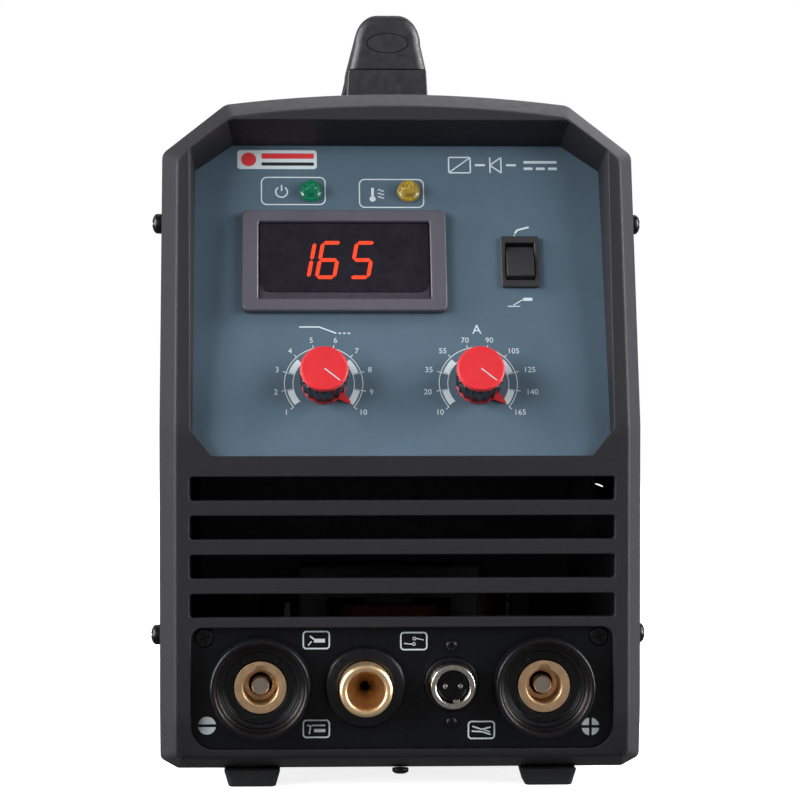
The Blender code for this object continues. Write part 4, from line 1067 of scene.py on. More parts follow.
# ---------------------------------------------------------------- control panel
def dial(side, x, numbers):
    """Scale round a knob: two fine arcs, pale blocks between some ticks, and the numbers."""
    ink = Ink(f"{side}_dial_print", at(PANEL, x, KNOB_V))
    last = 130
    step = 2 * last / (len(numbers) - 1)
    inner, outer, tick = 0.0107, 0.0137, 0.0150
    fine = 0.00028
    for radius in (outer, inner):
        ink.line(arc(radius, -last, last, 60), fine)
    for i, number in enumerate(numbers):
        turn = -last + step * i
        sine, cosine = math.sin(math.radians(turn)), math.cos(math.radians(turn))
        ink.line([(sine * r, cosine * r) for r in (outer, tick)], fine)
        wide = 0.0170 + 0.0011 * abs(sine) * (len(number) - 1)
        ink.text(number, 0.0029, sine * wide, cosine * 0.0169)
    for i in (0, 2, 6, 8):
        start, end = -last + step * i + 1.5, -last + step * (i + 1) - 1.5
        ink.fill(arc(0.0129, start, end, 8) + arc(0.0108, end, start, 8))
    for i in (1, 7):
        for j in (i, i + 1):
            turn = math.radians(-last + step * j)
            ink.line([(math.sin(turn) * r, math.cos(turn) * r) for r in (inner, outer)], 0.0002)
    ink.done(PRINT)


def panel_print():
    """Outlines round the lamps and the symbols that name each control."""
    ink = Ink("panel_print", PANEL)
    for centre, width, height in (
        ((-0.0374, 0.1028), 0.0228, 0.0108), ((-0.0022, 0.1019), 0.0230, 0.0111),
    ):
        ink.line(rounded_rectangle(width, height, 0.0020, centre), 0.00042, closed=True)
    # Power symbol: an open ring with a bar.
    x, v = -0.0416, LAMP_V
    ink.line(arc(0.0021, 35, 325, 24, (x, v)), 0.00050)
    ink.strokes(x, v, (0.00050, (0, 0.0004), (0, 0.0028)))
    # Overheating symbol: a thermometer beside three waves.
    x, v = -0.0090, LAMP_V - 0.0009
    ink.strokes(x, v, (0.00095, (0, -0.0008), (0, 0.0026)))
    ink.fill(circle(0.0011, 20, (x, v - 0.0018)))
    for i in range(3):
        level = v - 0.0012 + i * 0.0014
        wave = [(x + 0.0019 + 0.0022 * t / 8, level + 0.00035 * math.sin(t * 0.8)) for t in range(9)]
        ink.line(wave, 0.00035)
    # Direct-current and inverter symbols where the machine's type is shown.
    x, v = 0.0225, 0.1133
    ink.line(rounded_rectangle(0.0078, 0.0062, 0.0006, (x, v)), 0.00050, closed=True)
    ink.strokes(
        x, v,
        (0.00045, (-0.0036, -0.0028), (0.0036, 0.0028)),
        (0.00080, (0.0056, 0), (0.0092, 0)),
        (0.00050, (0.0110, -0.0031), (0.0110, 0.0031)),
        (0.00050, (0.0110, 0), (0.0150, 0.0031)),
        (0.00050, (0.0110, 0), (0.0150, -0.0031)),
        (0.00050, (0.0150, -0.0031), (0.0150, 0.0031)),
        (0.00080, (0.0168, 0), (0.0204, 0)),
        (0.00100, (0.0232, 0.0012), (0.0352, 0.0012)),
        *((0.00100, (0.0232 + i * 0.0044, -0.0014), (0.0264 + i * 0.0044, -0.0014)) for i in range(3)),
    )
    # Slope-down symbol over the left knob, unit letter over the right one.
    ink.strokes(
        -0.0265, 0.0486,
        (0.00052, (-0.0090, 0.0011), (-0.0020, 0.0011), (0.0040, -0.0013)),
        *((0.00052, (0.0048 + i * 0.0016, -0.0013), (0.0057 + i * 0.0016, -0.0013)) for i in range(3)),
    )
    ink.text("A", 0.0049, KNOB_X, 0.0486)
    # Mode symbols: a torch above the rocker, an electrode in its holder below.
    ink.strokes(
        MODE_SWITCH[0], 0.0872,
        (0.00065, (0.0036, 0.0014), (-0.0006, 0.0002), (-0.0014, -0.0010)),
        (0.00028, (-0.0014, -0.0012), (-0.0018, -0.0022)),
        (0.00035, (-0.0038, -0.0026), (0.0006, -0.0026)),
    )
    ink.strokes(
        MODE_SWITCH[0], 0.0597,
        (0.00120, (0.0040, 0.0007), (0.0008, 0.0007)),
        (0.00035, (0.0008, 0.0007), (-0.0028, -0.0016)),
        (0.00035, (-0.0048, -0.0020), (-0.0004, -0.0020)),
    )
    ink.done(PRINT)

    # A plain coloured badge in place of any mark.
    x, v = -0.0432, 0.1153
    badge = Ink("plain_badge", PANEL)
    badge.fill(rounded_rectangle(0.0286, 0.0076, 0.0012, (x, v)))
    badge.done(PRINT)
    over = PANEL @ Matrix.Translation((0, 0, INK + INK_LIFT))
    stripe = Ink("badge_stripe_red", over)
    stripe.fill(rounded_rectangle(0.0188, 0.0021, 0.0004, (x + 0.0038, v + 0.0014)))
    stripe.fill(circle(0.0027, 32, (x - 0.0102, v)))
    stripe.done(PRINT_RED)
    stripe = Ink("badge_stripe_dark", over)
    stripe.fill(rounded_rectangle(0.0188, 0.0013, 0.0004, (x + 0.0038, v - 0.0018)))
    stripe.done(PRINT_DARK)


def meter():
    width, height = METER_SIZE
    wide, tall = METER_WINDOW
    outline = rounded_rectangle(width, height, 0.0022, METER_CENTRE)
    bezel = prism("meter_bezel", outline, GAP, METER_PROUD, PANEL)
    window = rounded_rectangle(wide, tall, 0.0006, METER_CENTRE, 3)
    cut(bezel, prism("meter_window", window, -0.001, METER_PROUD + 0.002, PANEL))
    moulded(bezel, 0.0007, 3, 50, METER_GREY, "meter_frame")

    x, v = METER_CENTRE
    ledge_height = 0.0030
    glass_low, glass_high = v - tall / 2 + ledge_height, v + tall / 2 - GAP
    half = wide / 2 - GAP
    corners = [(x - half, glass_low), (x + half, glass_low), (x + half, glass_high), (x - half, glass_high)]
    level = METER_PROUD - 0.0012
    hole = rounded(corners, (0.0042, 0.0042, 0.0005, 0.0005))
    glass = prism("meter_glass", hole, GAP, level, PANEL)
    moulded(glass, 0.0002, 2, 50, SMOKED, "meter_lens")
    ledge = prism(
        "meter_glass_surround", rounded_rectangle(wide - 2 * GAP, tall - 2 * GAP, 0.0005, METER_CENTRE, 3),
        GAP, level - 0.0003, PANEL,
    )
    grown = [(x + (a - x) * 1.003, v + (b - v) * 1.006) for a, b in hole]
    cut(ledge, prism("glass_hole", grown, 0, METER_PROUD, PANEL))
    piece(ledge, METER_LEDGE, sharp=30)


SEGMENTS = {"1": "bc", "5": "acdfg", "6": "acdefg"}
DIGIT_HALF = 0.0031
DIGIT_TALL = 0.0067
DIGIT_PITCH = 0.0119
SEGMENT_WIDTH = 0.0014
DIGIT_SLANT = math.tan(math.radians(10))


def segment(letter):
    """Pointed outline of one bar of a seven-segment figure."""
    half, tall, thick = DIGIT_HALF, DIGIT_TALL, SEGMENT_WIDTH / 2
    ends = {
        "a": ((-half, tall), (half, tall)),
        "b": ((half, tall), (half, 0)),
        "c": ((half, 0), (half, -tall)),
        "d": ((-half, -tall), (half, -tall)),
        "e": ((-half, 0), (-half, -tall)),
        "f": ((-half, tall), (-half, 0)),
        "g": ((-half, 0), (half, 0)),
    }[letter]
    start, end = (Vector(point) for point in ends)
    along = (end - start).normalized()
    side = Vector((-along.y, along.x)) * thick
    start, end = start + along * 0.00012, end - along * 0.00012
    near, far = start + along * thick, end - along * thick
    points = [start, near + side, far + side, end, far - side, near - side]
    return [(p.x + p.y * DIGIT_SLANT, p.y) for p in points]


def display():
    """The figure shown by the meter."""
    lit = Ink("display_lit", at(PANEL, 0, 0, METER_PROUD - 0.0012))
    v = METER_CENTRE[1] + 0.0003
    for figure, x in (("1", -0.0341), ("6", -0.0250), ("5", -0.0249 + DIGIT_PITCH)):
        for letter in SEGMENTS[figure]:
            lit.fill([(x + a, v + b) for a, b in segment(letter)])
    lit.done(LIT)


def lamp(node, x, finish):
    """A moulded lens with a stepped rim and rings on its dome."""
    r = LAMP_RADIUS
    rings = [
        (0.00070, 0.00500), (0.00085, 0.00460), (0.00115, 0.00460), (0.00130, 0.00520),
        (0.00175, 0.00515), (0.00190, 0.00455), (0.00220, 0.00450), (0.00235, 0.00500),
        (0.00265, 0.00460), (0.00298, 0.00360), (0.00300, 0.00215),
    ]
    profile = [
        (0, 0.0050), *rings, (r * 0.92, 0.0019), (r, 0.0013), (r, GAP),
        (0.0028, GAP), (0.0028, -0.0060), (0, -0.0060),
    ]
    jewel_piece = lathe(f"{node}_lens", profile, at(PANEL, x, LAMP_V), 56, soft=0.00015)
    piece(jewel_piece, finish, nodes=[node], sharp=50)


def fluted(radius, depth, flutes, per_flute):
    """A knob's outline: a circle with rounded flutes."""
    points = []
    for i in range(flutes * per_flute):
        turn = 2 * math.pi * i / (flutes * per_flute)
        dip = depth * (0.5 - 0.5 * math.cos(flutes * turn)) ** 0.7
        points.append(((radius - dip) * math.sin(turn), -(radius - dip) * math.cos(turn)))
    return points


def knob(side, x):
    """The ribbed skirt with its red pointer, and the red cap with its pointer line."""
    place = at(PANEL, x, KNOB_V)
    body = f"{side}_knob"
    base, shoulder = 0.0016, KNOB_HEIGHT - 0.0022
    flutes, per_flute = 18, 10
    levels = [
        (base, KNOB_RADIUS - 0.0009, 0.0004), (base + 0.0004, KNOB_RADIUS - 0.0006, 0.0005),
        (shoulder - 0.0007, KNOB_RADIUS, 0.0006),
        (shoulder - 0.0002, KNOB_RADIUS - 0.0001, 0.0005), (shoulder, KNOB_RADIUS - 0.0004, 0.0003),
    ]
    skirt = loft(
        f"{side}_knob_body",
        [[(a, b, z) for a, b in fluted(r, dip, flutes, per_flute)] for z, r, dip in levels],
        place,
    )
    unite(skirt, prism("shaft", circle(SHAFT_RADIUS, 32), -0.0150, base + 0.0010, place))
    piece(skirt, KNOB_BLACK, body, [f"{side}_knob_skirt"], sharp=50)

    ring = lathe(
        f"{side}_knob_pointer",
        [
            (SHAFT_RADIUS + 0.0002, 0.0005), (KNOB_RADIUS - 0.0008, 0.0005),
            (KNOB_RADIUS - 0.0008, 0.0012), (KNOB_RADIUS - 0.0012, 0.0015), (SHAFT_RADIUS + 0.0002, 0.0015),
        ],
        place, 72, ring=True, soft=0.0001,
    )
    spin = Matrix.Rotation(POINTER_ANGLE, 2)
    tip = POINTER_REACH - 0.0004
    corners = [(-0.0019, 0.0072), (0.0019, 0.0072), (0.0003, tip), (-0.0003, tip)]
    turned = [tuple(spin @ Vector(corner)) for corner in reversed(corners)]
    unite(ring, prism("pointer", turned, 0.0006, 0.0014, place))
    piece(ring, RED, body, sharp=35)

    top = KNOB_HEIGHT
    cap = lathe(
        f"{side}_cap",
        [
            (0, top - 0.00012), (KNOB_CAP_RADIUS - 0.0009, top - 0.00012), (KNOB_CAP_RADIUS - 0.0006, top),
            (KNOB_CAP_RADIUS - 0.0003, top), (KNOB_CAP_RADIUS, top - 0.0005),
            (KNOB_CAP_RADIUS, shoulder + GAP), (0, shoulder + GAP),
        ],
        place, 96, soft=0.00015,
    )
    reach = KNOB_CAP_RADIUS - 0.0011
    groove = [(0.0003, 0.0), (0.0003, reach), (-0.0003, reach), (-0.0003, 0.0)]
    turned = [tuple(spin @ Vector(corner)) for corner in reversed(groove)]
    cut(cap, prism("pointer_groove", turned, top - 0.0004, top + 0.001, place))
    piece(cap, RED, body, [f"{side}_knob_cap"], sharp=35)
    line = Ink(f"{side}_pointer_line", at(place, 0, 0, top - 0.0004))
    ends = ((0, 0.0001), (0, reach - 0.0001))
    line.line([tuple(spin @ Vector(point)) for point in ends], 0.00050)
    line.done(PRINT, body)


def rocker(name, half_width, half_length, thickness, place, body, finish, node, marks):
    """A rocker with two flat faces that meet in a ridge over its hinge."""
    travel = ROCKER_TRAVEL
    dip = half_length * math.sin(travel / 2) * 1.3
    end = 0.0004
    top = [(-half_length, end), (0, dip + end), (half_length, end)]
    outline = [(-half_length, -thickness), *top, (half_length, -thickness)]
    tip = Matrix.Rotation(-travel / 2, 2)
    tilted = [tuple(tip @ Vector(corner)) for corner in outline]
    edge = place @ frame_of((0, 1, 0), (0, 0, 1), (1, 0, 0), (0, 0, 0))
    made = prism(name, tilted, -half_width, half_width, edge)
    round_edges(made, 0.00025, 2, 40)
    piece(made, finish, body, [node], sharp=0)
    for mark_name, v, shape in marks:
        # Each mark lies on the sloping half it belongs to.
        side = 1 if v > 0 else -1
        slope = math.atan2(-dip * side, half_length)
        turn = Matrix.Rotation(-travel / 2 + slope, 4, "X")
        start = tip @ Vector((0, dip + end))
        where = place @ Matrix.Translation((0, start.x, start.y)) @ turn
        ink = Ink(mark_name, at(where, 0, v, 0.00002))
        ink.line(shape, 0.0005, closed=len(shape) > 2)
        ink.done(PRINT, body)


def mode_switch():
    width, height = MODE_SWITCH_SIZE
    place = at(PANEL, *MODE_SWITCH)
    housing = prism("mode_switch_bezel", rounded_rectangle(width, height, 0.0009), GAP, 0.0018, place)
    body = rounded_rectangle(width - 0.0020, height - 0.0030, 0.0003, steps=2)
    unite(housing, prism("switch_body", body, -0.0140, 0.0008, place))
    well = rectangle(width / 2 - 0.0016, -height / 2 + 0.0026, height / 2 - 0.0026)
    cut(housing, prism("switch_well", well, -0.0095, 0.004, place))
    moulded(housing, 0.0003, 2, 50, SWITCH_GREY, "mode_switch_housing")
    rocker(
        "mode_rocker_cap", width / 2 - 0.0019, height / 2 - 0.0036, 0.0030,
        at(place, 0, 0, 0.0012), "mode_rocker", SWITCH_GREY, "mode_switch_rocker", (),
    )


# ---------------------------------------------------------------- output panel
def output_print():
    """Polarity discs and a framed symbol by each outlet."""
    ink = Ink("output_print", OUTPUT)
    radius, bar = 0.0031, 0.00050
    lead = math.degrees(math.asin(bar / radius))
    half = arc(radius, -90 + lead, 90 - lead, 24)
    quarter = [*arc(radius, lead, 90 - lead, 12), (bar, bar)]
    # Each disc has its sign left open, as two halves or four quarters round the bars.
    for up in (-1, 1):
        ink.fill([(-0.0676 + a, 0.0232 + b * up) for a, b in half][::up])
        for across in (-1, 1):
            ink.fill([(0.0655 + a * across, 0.0222 + b * up) for a, b in quarter][:: across * up])
    torch, remote = (-0.0298, 0.0527), (0.0040, 0.0522)
    holder, clamp = (-0.0298, 0.0219), (0.0275, 0.0212)
    for centre in (torch, remote, holder, clamp):
        ink.line(rounded_rectangle(0.0090, 0.0059, 0.0011, centre), 0.00050, closed=True)
    ink.strokes(
        *torch,
        (0.0013, (0.0030, -0.0002), (-0.0008, -0.0002)),
        (0.0006, (-0.0008, 0.0003), (-0.0022, 0.0014)),
        (0.0004, (-0.0016, -0.0004), (-0.0028, -0.0019)),
    )
    x, v = remote
    for across, up in ((0.0002, 0.0009), (0, -0.0010)):
        ink.line(circle(0.0005, 12, (x + across, v + up)), 0.00025, closed=True)
    ink.strokes(
        *remote,
        (0.0003, (0.0007, 0.0010), (0.0034, 0.0004)),
        (0.0003, (-0.0005, -0.0011), (-0.0034, -0.0008)),
    )
    ink.strokes(
        *holder,
        (0.0005, (-0.0016, 0.0012), (0.0031, 0.0012)),
        (0.0011, (-0.0008, -0.0006), (0.0031, -0.0006)),
        (0.0005, (-0.0032, 0.0012), (-0.0020, 0.0010), (-0.0024, -0.0018)),
    )
    ink.strokes(
        *clamp,
        (0.0005, (-0.0032, 0.0013), (0.0002, 0.0002), (0.0032, 0.0010)),
        (0.0005, (-0.0034, -0.0004), (0.0002, -0.0006), (0.0032, -0.0016)),
        (0.0004, (0.0008, 0.0001), (0.0030, -0.0007)),
    )
    ink.done(PRINT)


def output_screws():
    """Countersunk heads sunk flush into the plate."""
    face = -OUTPUT_DEPTH
    for side, sign in (("left", -1), ("right", 1)):
        place = at(FRONT, sign * OUTPUT_SCREW[0], OUTPUT_SCREW[1])
        screw = lathe(
            f"countersunk_head_{side}",
            [
                (0, face - 0.0001), (0.0030, face - 0.0001), (0.0033, face - 0.0004),
                (0.0017, face - 0.0019), (0.0017, face - 0.0060), (0, face - 0.0060),
            ],
            place, 40, soft=0.0001,
        )
        askew = place @ Matrix.Rotation(0.35, 4, "Z")
        cut(screw, prism("slot", cross_outline(0.00035, 0.0019), face - 0.0014, face + 0.001, askew))
        piece(screw, BLACK_STEEL, nodes=[f"output_screw_{side}"], sharp=30)


def power_socket(sign_name, x):
    """A moulded cup with stepped walls round a brass contact and its pin."""
    place = at(FRONT, x, SOCKET_Z)
    face = -OUTPUT_DEPTH + GAP
    rim = face + SOCKET_PROUD
    floor = rim - 0.0072
    cup = lathe(
        f"{sign_name}_outlet_cup",
        [
            (SOCKET_MOUTH + 0.0004, rim - 0.0003), (SOCKET_MOUTH + 0.0009, rim),
            (SOCKET_RADIUS - 0.0004, rim),
            (SOCKET_RADIUS, rim - 0.0008), (SOCKET_RADIUS + 0.0005, face),
            (0.0123, face), (0.0123, face - 0.0120), (CONTACT_RADIUS + GAP, face - 0.0120),
            (CONTACT_RADIUS + GAP, floor), (0.0123, floor), (0.0126, floor + 0.0016),
            (0.0139, floor + 0.0018), (0.0142, rim - 0.0034), (0.0149, rim - 0.0030),
        ],
        place, 112, ring=True, soft=0.0003,
    )
    dome = [(0, 0.0004), (0.0008, 0.0003), (0.0010, -0.0003), (0, -0.0003)]
    bosses = []
    for turn in (math.radians(55), math.radians(125), math.radians(262)):
        where = at(place, BOSS_REACH * math.cos(turn), BOSS_REACH * math.sin(turn), floor)
        bosses.append(lathe("boss", dome, where, 20, soft=0.0001))
    unite(cup, *bosses)
    piece(cup, BLACK, nodes=[f"{sign_name}_socket_cup"], sharp=50)

    front = floor + 0.0004
    ring = lathe(
        f"{sign_name}_contact_ring",
        [
            (CONTACT_BORE + 0.0003, front - 0.0002), (CONTACT_BORE + 0.0006, front), (CONTACT_RADIUS, front),
            (CONTACT_RADIUS, front - 0.0170), (0.0040, front - 0.0170), (0.0040, front - 0.0120),
            (CONTACT_BORE, front - 0.0120), (CONTACT_BORE, front - 0.0008),
        ],
        place, 96, ring=True, soft=0.0002,
    )
    top = CONTACT_BORE + 0.0019
    key = rounded([(-0.0027, 0), (0.0027, 0), (0.0017, top), (-0.0017, top)], (0, 0, 0.0013, 0.0013), 6)
    cut(ring, prism("keyway", key, front - 0.0045, front + 0.002, place))
    piece(ring, BRASS_DULL, nodes=[f"{sign_name}_socket_contact"], sharp=35)
    turned(
        f"{sign_name}_contact_pin",
        [
            (0, front - 0.0049), (0.0014, front - 0.0048), (0.0029, front - 0.0048),
            (0.0032, front - 0.0052), (0.0032, front - 0.0120), (0, front - 0.0120),
        ],
        place, 64, 0.0002, PIN_END, "brass",
    )


def torch_connector():
    place = at(FRONT, TORCH_X, SOCKET_Z)
    face = -OUTPUT_DEPTH + GAP
    tip = TORCH_TIP
    turned(
        "torch_outlet_collar",
        [
            (TORCH_RADIUS + GAP, face + 0.0030), (TORCH_RADIUS + 0.0012, face + 0.0034),
            (TORCH_FLANGE_RADIUS - 0.0007, face + 0.0028), (TORCH_FLANGE_RADIUS, face + 0.0020),
            (TORCH_FLANGE_RADIUS, face), (0.0108, face), (0.0108, face - 0.0100),
            (TORCH_RADIUS + GAP, face - 0.0100),
        ],
        place, 112, 0.0002, BLACK, "black_plastic", "torch_connector_insulator", ring=True, sharp=50,
    )
    turned(
        "torch_outlet_nut",
        [
            (0.0068, tip - 0.0002), (0.0074, tip), (TORCH_RADIUS - 0.0007, tip),
            (TORCH_RADIUS, tip - 0.0008), (TORCH_RADIUS, face - 0.0120),
            (0.0050, face - 0.0120), (0.0050, face - 0.0260), (0.0017, face - 0.0260),
            (0.0017, tip - 0.0150), (0.0052, tip - 0.0080), (0.0060, tip - 0.0050), (0.0064, tip - 0.0014),
        ],
        place, 112, 0.0004, BRASS, "brass", "torch_connector_fitting", ring=True, sharp=45,
    )


def control_socket():
    """Two-pin socket: threaded nickel shell on a black flange, an insert with a key, two screws."""
    place = at(FRONT, *CONTROL_SOCKET)
    face = -OUTPUT_DEPTH + GAP
    rim = face + 0.0098
    bore = 0.0058
    outer = CONTROL_SHELL_RADIUS
    thread = []
    for i in range(7):
        height = rim - 0.0012 - i * 0.0009
        thread += [(outer, height), (outer - 0.00035, height - 0.00045)]
    turned(
        "control_shell",
        [
            (bore, rim - 0.0003), (bore + 0.0004, rim), (outer - 0.0004, rim), (outer - 0.0001, rim - 0.0004),
            *thread, (outer - 0.0003, face + 0.0016), (outer - 0.0003, face - 0.0090), (bore, face - 0.0090),
        ],
        place, 80, 0.0001, NICKEL, "nickel", "control_socket_shell", ring=True,
    )
    turned(
        "control_flange",
        [
            (outer, face + 0.0016), (outer + 0.0014, face + 0.0014), (outer + 0.0018, face + 0.0008),
            (outer + 0.0018, face), (outer, face),
        ],
        place, 80, 0.0002, BLACK, "nickel", ring=True, sharp=50,
    )
    floor = rim - 0.0068
    turned(
        "control_insert",
        [
            (0, floor), (bore - 0.0011, floor), (bore - 0.0009, floor + 0.0010), (bore - GAP, floor + 0.0012),
            (bore - GAP, face - 0.0110), (0, face - 0.0110),
        ],
        place, 56, 0.0001, BLACK, "black_plastic", "control_socket_insert",
    )
    outline = rounded_rectangle(0.0022, 0.0011, 0.0003, (0.0012, -bore + 0.0007))
    key = prism("control_key", outline, floor, rim - 0.0012, place)
    moulded(key, 0.0001, 2, 50, NICKEL)
    for side, x in (("left", -0.0026), ("right", 0.0026)):
        pin = lathe(
            f"control_pin_{side}",
            [
                (0, rim - 0.0020), (0.0007, rim - 0.0021), (0.00095, rim - 0.0026),
                (0.00095, floor - 0.001), (0, floor - 0.001),
            ],
            at(place, x, 0), 24, soft=0.0001,
        )
        cut(pin, prism("pin_slot", rectangle(0.00013, -0.002, 0.002), rim - 0.0040, rim, at(place, x, 0)))
        piece(pin, NICKEL, sharp=35)
    for level, sign in (("lower", -1), ("upper", 1)):
        where = at(FRONT, CONTROL_SOCKET[0], CONTROL_SOCKET[1] + sign * FLANGE_SCREW_REACH, face)
        node = f"control_socket_screw_{level}"
        cross_head(f"{node}_head", where, 0.0020, 0.0013, 0.0010, -GAP, 0.0012, [node])


# ---------------------------------------------------------------- rear fittings
def power_switch():
    width, height = POWER_SWITCH_SIZE
    place = at(REAR, *POWER_SWITCH)
    housing = prism("power_switch_bezel", rounded_rectangle(width, height, 0.0016), GAP, 0.0026, place)
    body = rounded_rectangle(width - 0.0042, height - 0.0042, 0.0003, steps=2)
    unite(housing, prism("switch_body", body, -0.0240, 0.0010, place))
    well = rectangle(width / 2 - 0.0040, -height / 2 + 0.0040, height / 2 - 0.0040)
    cut(housing, prism("switch_well", well, -0.0120, 0.005, place))
    moulded(housing, 0.0005, 3, 50, SATIN_BLACK, "power_switch_housing")
    bar = [(0, -0.0013), (0, 0.0013)]
    ring = circle(0.0012, 28)
    rocker(
        "power_rocker_cap", width / 2 - 0.0044, height / 2 - 0.0051, 0.0034,
        at(place, 0, 0, 0.0016), "power_rocker", BLACK, "power_switch_rocker",
        (("power_on_mark", 0.0028, bar), ("power_off_mark", -0.0028, ring)),
    )


def hexagon(name, radius, bore, heights, place, steps, rounding, finish):
    """A hexagon nut with a plain bore of so many steps round."""
    nut = prism(name, circle(radius, 6), *heights, place)
    cut(nut, prism("nut_bore", circle(bore, steps), -0.001, 0.007, place))
    moulded(nut, rounding, 2, 40, finish)


def cord_gland():
    """A ribbed cap nut on a hexagon body; its bore is where the supply cord passes."""
    place = at(REAR, *GLAND)
    nut = lathe(
        "gland_cap_nut",
        [
            (0.0052, 0.0146), (0.0058, 0.0150), (0.0086, 0.0150), (0.0099, 0.0134), (0.0106, 0.0066),
            (0.0106, 0.0060), (0.0078, 0.0060), (0.0078, -0.0100), (0.0052, -0.0100),
        ],
        place, 96, ring=True, soft=0.0003,
    )
    cutters = []
    for i in range(18):
        turn = 2 * math.pi * i / 18
        where = at(place, 0.0112 * math.cos(turn), 0.0112 * math.sin(turn))
        cutters.append(prism("groove", circle(0.0010, 12), 0.0068, 0.0150, where))
    cut(nut, *cutters)
    piece(nut, SATIN_BLACK, nodes=["cord_gland"], sharp=40)
    hexagon("gland_hexagon", 0.0120, 0.0080, (GAP, 0.0058), place, 48, 0.0006, SATIN_BLACK)


def gas_inlet():
    place = at(REAR, *GAS_INLET)
    turned(
        "gas_barb",
        [
            (0.0022, REAR_REACH), (0.0034, REAR_REACH), (0.0046, 0.0148), (0.0038, 0.0142),
            (0.0046, 0.0112), (0.0038, 0.0106), (0.0046, 0.0078), (0.0038, 0.0072), (0.0038, 0.0060),
            (0.0060, 0.0058), (0.0060, -0.0120), (0.0022, -0.0120),
        ],
        place, 64, 0.0002, BRASS, "brass", "gas_inlet", ring=True,
    )
    hexagon("gas_inlet_nut", 0.0086, 0.0060, (GAP, 0.0056), place, 40, 0.0004, BRASS)


def earth_bolt():
    place = at(REAR, *EARTH_BOLT)
    turned(
        "earth_stud",
        [
            (0, 0.0120), (0.0026, 0.0120), (0.0030, 0.0115), (0.0030, 0.0112),
            *((0.0030 if i % 2 else 0.0027, 0.0110 - i * 0.0004) for i in range(13)),
            (0.0030, -0.0090), (0, -0.0090),
        ],
        place, 40, 0.0001, BRASS, "brass", "earth_bolt",
    )
    nut = prism("earth_nut", circle(0.0066, 6), 0.0017, 0.0058, place)
    cut(nut, prism("nut_bore", circle(0.0030, 32), 0, 0.007, place))
    moulded(nut, 0.0004, 2, 40, BRASS)
    washer = lathe(
        "earth_washer_ring", [(0.0030, 0.0016), (0.0078, 0.0016), (0.0078, GAP), (0.0030, GAP)],
        place, 56, ring=True, soft=0.0002,
    )
    piece(washer, NICKEL, sharp=40)


def fan():
    """The rotor behind the grille: a hub and curved, twisted blades."""
    back = -WALL - GAP
    place = at(REAR, 0, FAN_Z)
    low, high = back - FAN_DEPTH + 0.0045, back - 0.0020
    hub = lathe(
        "fan_hub",
        [(0, high), (0.0165, high), (0.0185, high - 0.0020), (0.0185, low), (0, low)],
        place, 72, soft=0.0008,
    )
    piece(hub, SATIN_BLACK, "fan", ["fan_rotor"])
    bm = bmesh.new()
    blades, root, tip, mid = 7, 0.0175, FAN_SIDE / 2 - 0.0050, (low + high) / 2
    for i in range(blades):
        spin = 2 * math.pi * i / blades
        rows = []
        for j in range(7):
            radius = root + (tip - root) * j / 6
            sweep = 0.28 * (j / 6) ** 1.3
            pitch = math.radians(52 - 18 * j / 6)
            row = []
            for k in range(14):
                t = k if k < 7 else 13 - k
                chord = (t / 6 - 0.5) * 0.0190
                camber = 0.0016 * (1 - (2 * t / 6 - 1) ** 2) + (0.0006 if k < 7 else -0.0006)
                across = chord * math.cos(pitch) - camber * math.sin(pitch)
                height = chord * math.sin(pitch) + camber * math.cos(pitch)
                turn = spin + sweep + across / radius
                row.append(bm.verts.new((radius * math.cos(turn), radius * math.sin(turn), mid + height)))
            rows.append(row)
        skin(bm, rows)
        for row in (rows[0], rows[-1]):
            bm.faces.new(row)
    piece(solid("fan_blades", bm, place), SATIN_BLACK, "fan")


def bezel_screws():
    """Pan heads that hold the rear bezel's sides to the base, level with the front ones."""
    half = WIDTH / 2 + GAP
    for level, z in zip(("lower", "upper"), SIDE_SCREW_Z):
        for side, place, sign in (("left", LEFT, -1), ("right", RIGHT, 1)):
            where = at(place, (REAR_Y - REAR_SCREW_DEPTH) * sign, z, half)
            cross_head(f"rear_side_screw_{level}_{side}", where, *SIDE_HEAD, -GAP, 0.0022, ())


# ---------------------------------------------------------------- CAD pieces that keep their shape
KEPT = {
    "control_panel": PAINT, "output_panel": PLATE, "base_plate": ZINC, "meter_module": SATIN_BLACK,
    "left_potentiometer": ALUMINIUM, "right_potentiometer": ALUMINIUM, "fan_frame": SATIN_BLACK,
    "inverter_heatsink": ALUMINIUM, "inverter_board": BOARD, "control_board": BOARD,
    "bus_capacitor_left": SLEEVE, "bus_capacitor_right": SLEEVE, "transformer_core": FERRITE,
    # The air divider is a dark sheet across the case behind the front slots: it parts the air, and it also
    # stands in for the shade seen through those slots.
    "air_divider": SATIN_BLACK, "transformer_winding": SHADE_DARKENED_COPPER, "arc_starter_coil": SHADE_DARKENED_COPPER,
    "gas_valve": BRASS_DULL, "gas_hose": HOSE,
}


def keep_cad_pieces():
    for node, finish in KEPT.items():
        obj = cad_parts[node]
        for material_slot in obj.material_slots:
            material_slot.material = finish


# ---------------------------------------------------------------- floor, light and camera
AMBIENT = 0.20  # light that comes from all round, next to the white that is seen


LIGHTS = (
    # name, watts, width and height, place
    ("key_left", 24.0, (0.8, 0.8), (-1.30, -1.2, 0.62)),
    ("key_right", 16.0, (0.8, 0.8), (1.30, -1.2, 0.62)),
    ("left", 46.0, (0.4, 1.2), (-1.5, -0.25, 0.5)),
    ("right", 56.0, (0.4, 1.2), (1.5, -0.25, 0.5)),
    ("top", 4.0, (1.2, 1.0), (0.0, 0.5, 1.8)),
    ("back", 12.0, (1.4, 0.9), (0.4, 1.7, 1.1)),
)
LIT_POINT = (0, 0, 0.12)  # what every light faces


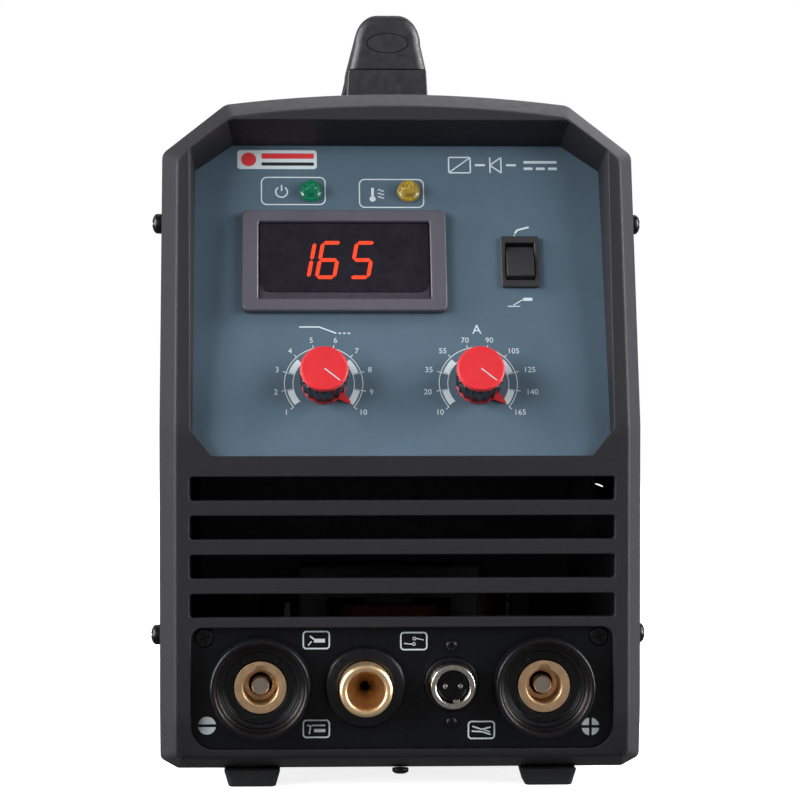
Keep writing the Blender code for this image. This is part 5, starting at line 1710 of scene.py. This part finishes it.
def stage():
    bm = bmesh.new()
    bmesh.ops.create_grid(bm, x_segments=1, y_segments=1, size=14.0)
    floor = solid("floor", bm)
    floor.data.materials.append(
        moulding(
            "pale_floor", (0.90, 0.90, 0.90), 0.70, 0.85, grain=300, depth=0.00001, amount=0.01,
            emission_color=(1, 1, 1, 1), emission_strength=1 - AMBIENT * 0.9, specular_ior_level=0.0,
        )
    )
    floor.visible_diffuse = False
    floor.visible_glossy = False

    world = bpy.data.worlds.new("studio")
    world.use_nodes = True
    tree = world.node_tree
    soft = tree.nodes["Background"]
    soft.inputs["Strength"].default_value = AMBIENT
    seen = tree.nodes.new("ShaderNodeBackground")
    path = tree.nodes.new("ShaderNodeLightPath")
    mix = tree.nodes.new("ShaderNodeMixShader")
    for background in (soft, seen):
        background.inputs["Color"].default_value = (1, 1, 1, 1)
    tree.links.new(path.outputs["Is Camera Ray"], mix.inputs["Fac"])
    tree.links.new(soft.outputs["Background"], mix.inputs[1])
    tree.links.new(seen.outputs["Background"], mix.inputs[2])
    tree.links.new(mix.outputs["Shader"], tree.nodes["World Output"].inputs["Surface"])
    bpy.context.scene.world = world
    bpy.context.scene.view_settings.view_transform = "Standard"
    for name, power, size, where in LIGHTS:
        light = bpy.data.lights.new(name, "AREA")
        light.shape = "RECTANGLE"
        light.size, light.size_y = size
        light.energy = power
        obj = bpy.data.objects.new(name, light)
        obj.location = where
        aim = Vector(LIT_POINT) - Vector(where)
        obj.rotation_euler = aim.to_track_quat("-Z", "Y").to_euler()
        bpy.context.scene.collection.objects.link(obj)


CAMERA_PLACE = (-0.0440, FRONT_Y - 1.0, 0.1544)
CAMERA_AIM = (-0.001, FRONT_Y, 0.1359)
FOCAL_LENGTH = 130.8  # millimetres, on a sensor 36 mm wide


def camera():
    lens = bpy.data.cameras.new("camera")
    lens.lens = FOCAL_LENGTH
    lens.sensor_width = 36
    obj = bpy.data.objects.new("camera", lens)
    obj.location = CAMERA_PLACE
    aim = Vector(CAMERA_AIM) - obj.location
    obj.rotation_euler = aim.to_track_quat("-Z", "Y").to_euler()
    bpy.context.scene.collection.objects.link(obj)
    bpy.context.scene.camera = obj


camera()
front_bezel()
rear_bezel()
top_cover()
feet()
side_screws()
bezel_screws()
handle()
panel_print()
dial("left", -KNOB_X, [str(i) for i in range(1, 11)])
dial("right", KNOB_X, ["10", "20", "35", "55", "70", "90", "105", "125", "140", "165"])
meter()
display()
lamp("power_lamp", POWER_LAMP_X, GREEN_JEWEL)
lamp("alarm_lamp", ALARM_LAMP_X, AMBER_JEWEL)
knob("left", -KNOB_X)
knob("right", KNOB_X)
mode_switch()
output_print()
output_screws()
power_socket("negative", -SOCKET_X)
power_socket("positive", SOCKET_X)
torch_connector()
control_socket()
power_switch()
cord_gland()
gas_inlet()
earth_bolt()
fan()
keep_cad_pieces()
stage()
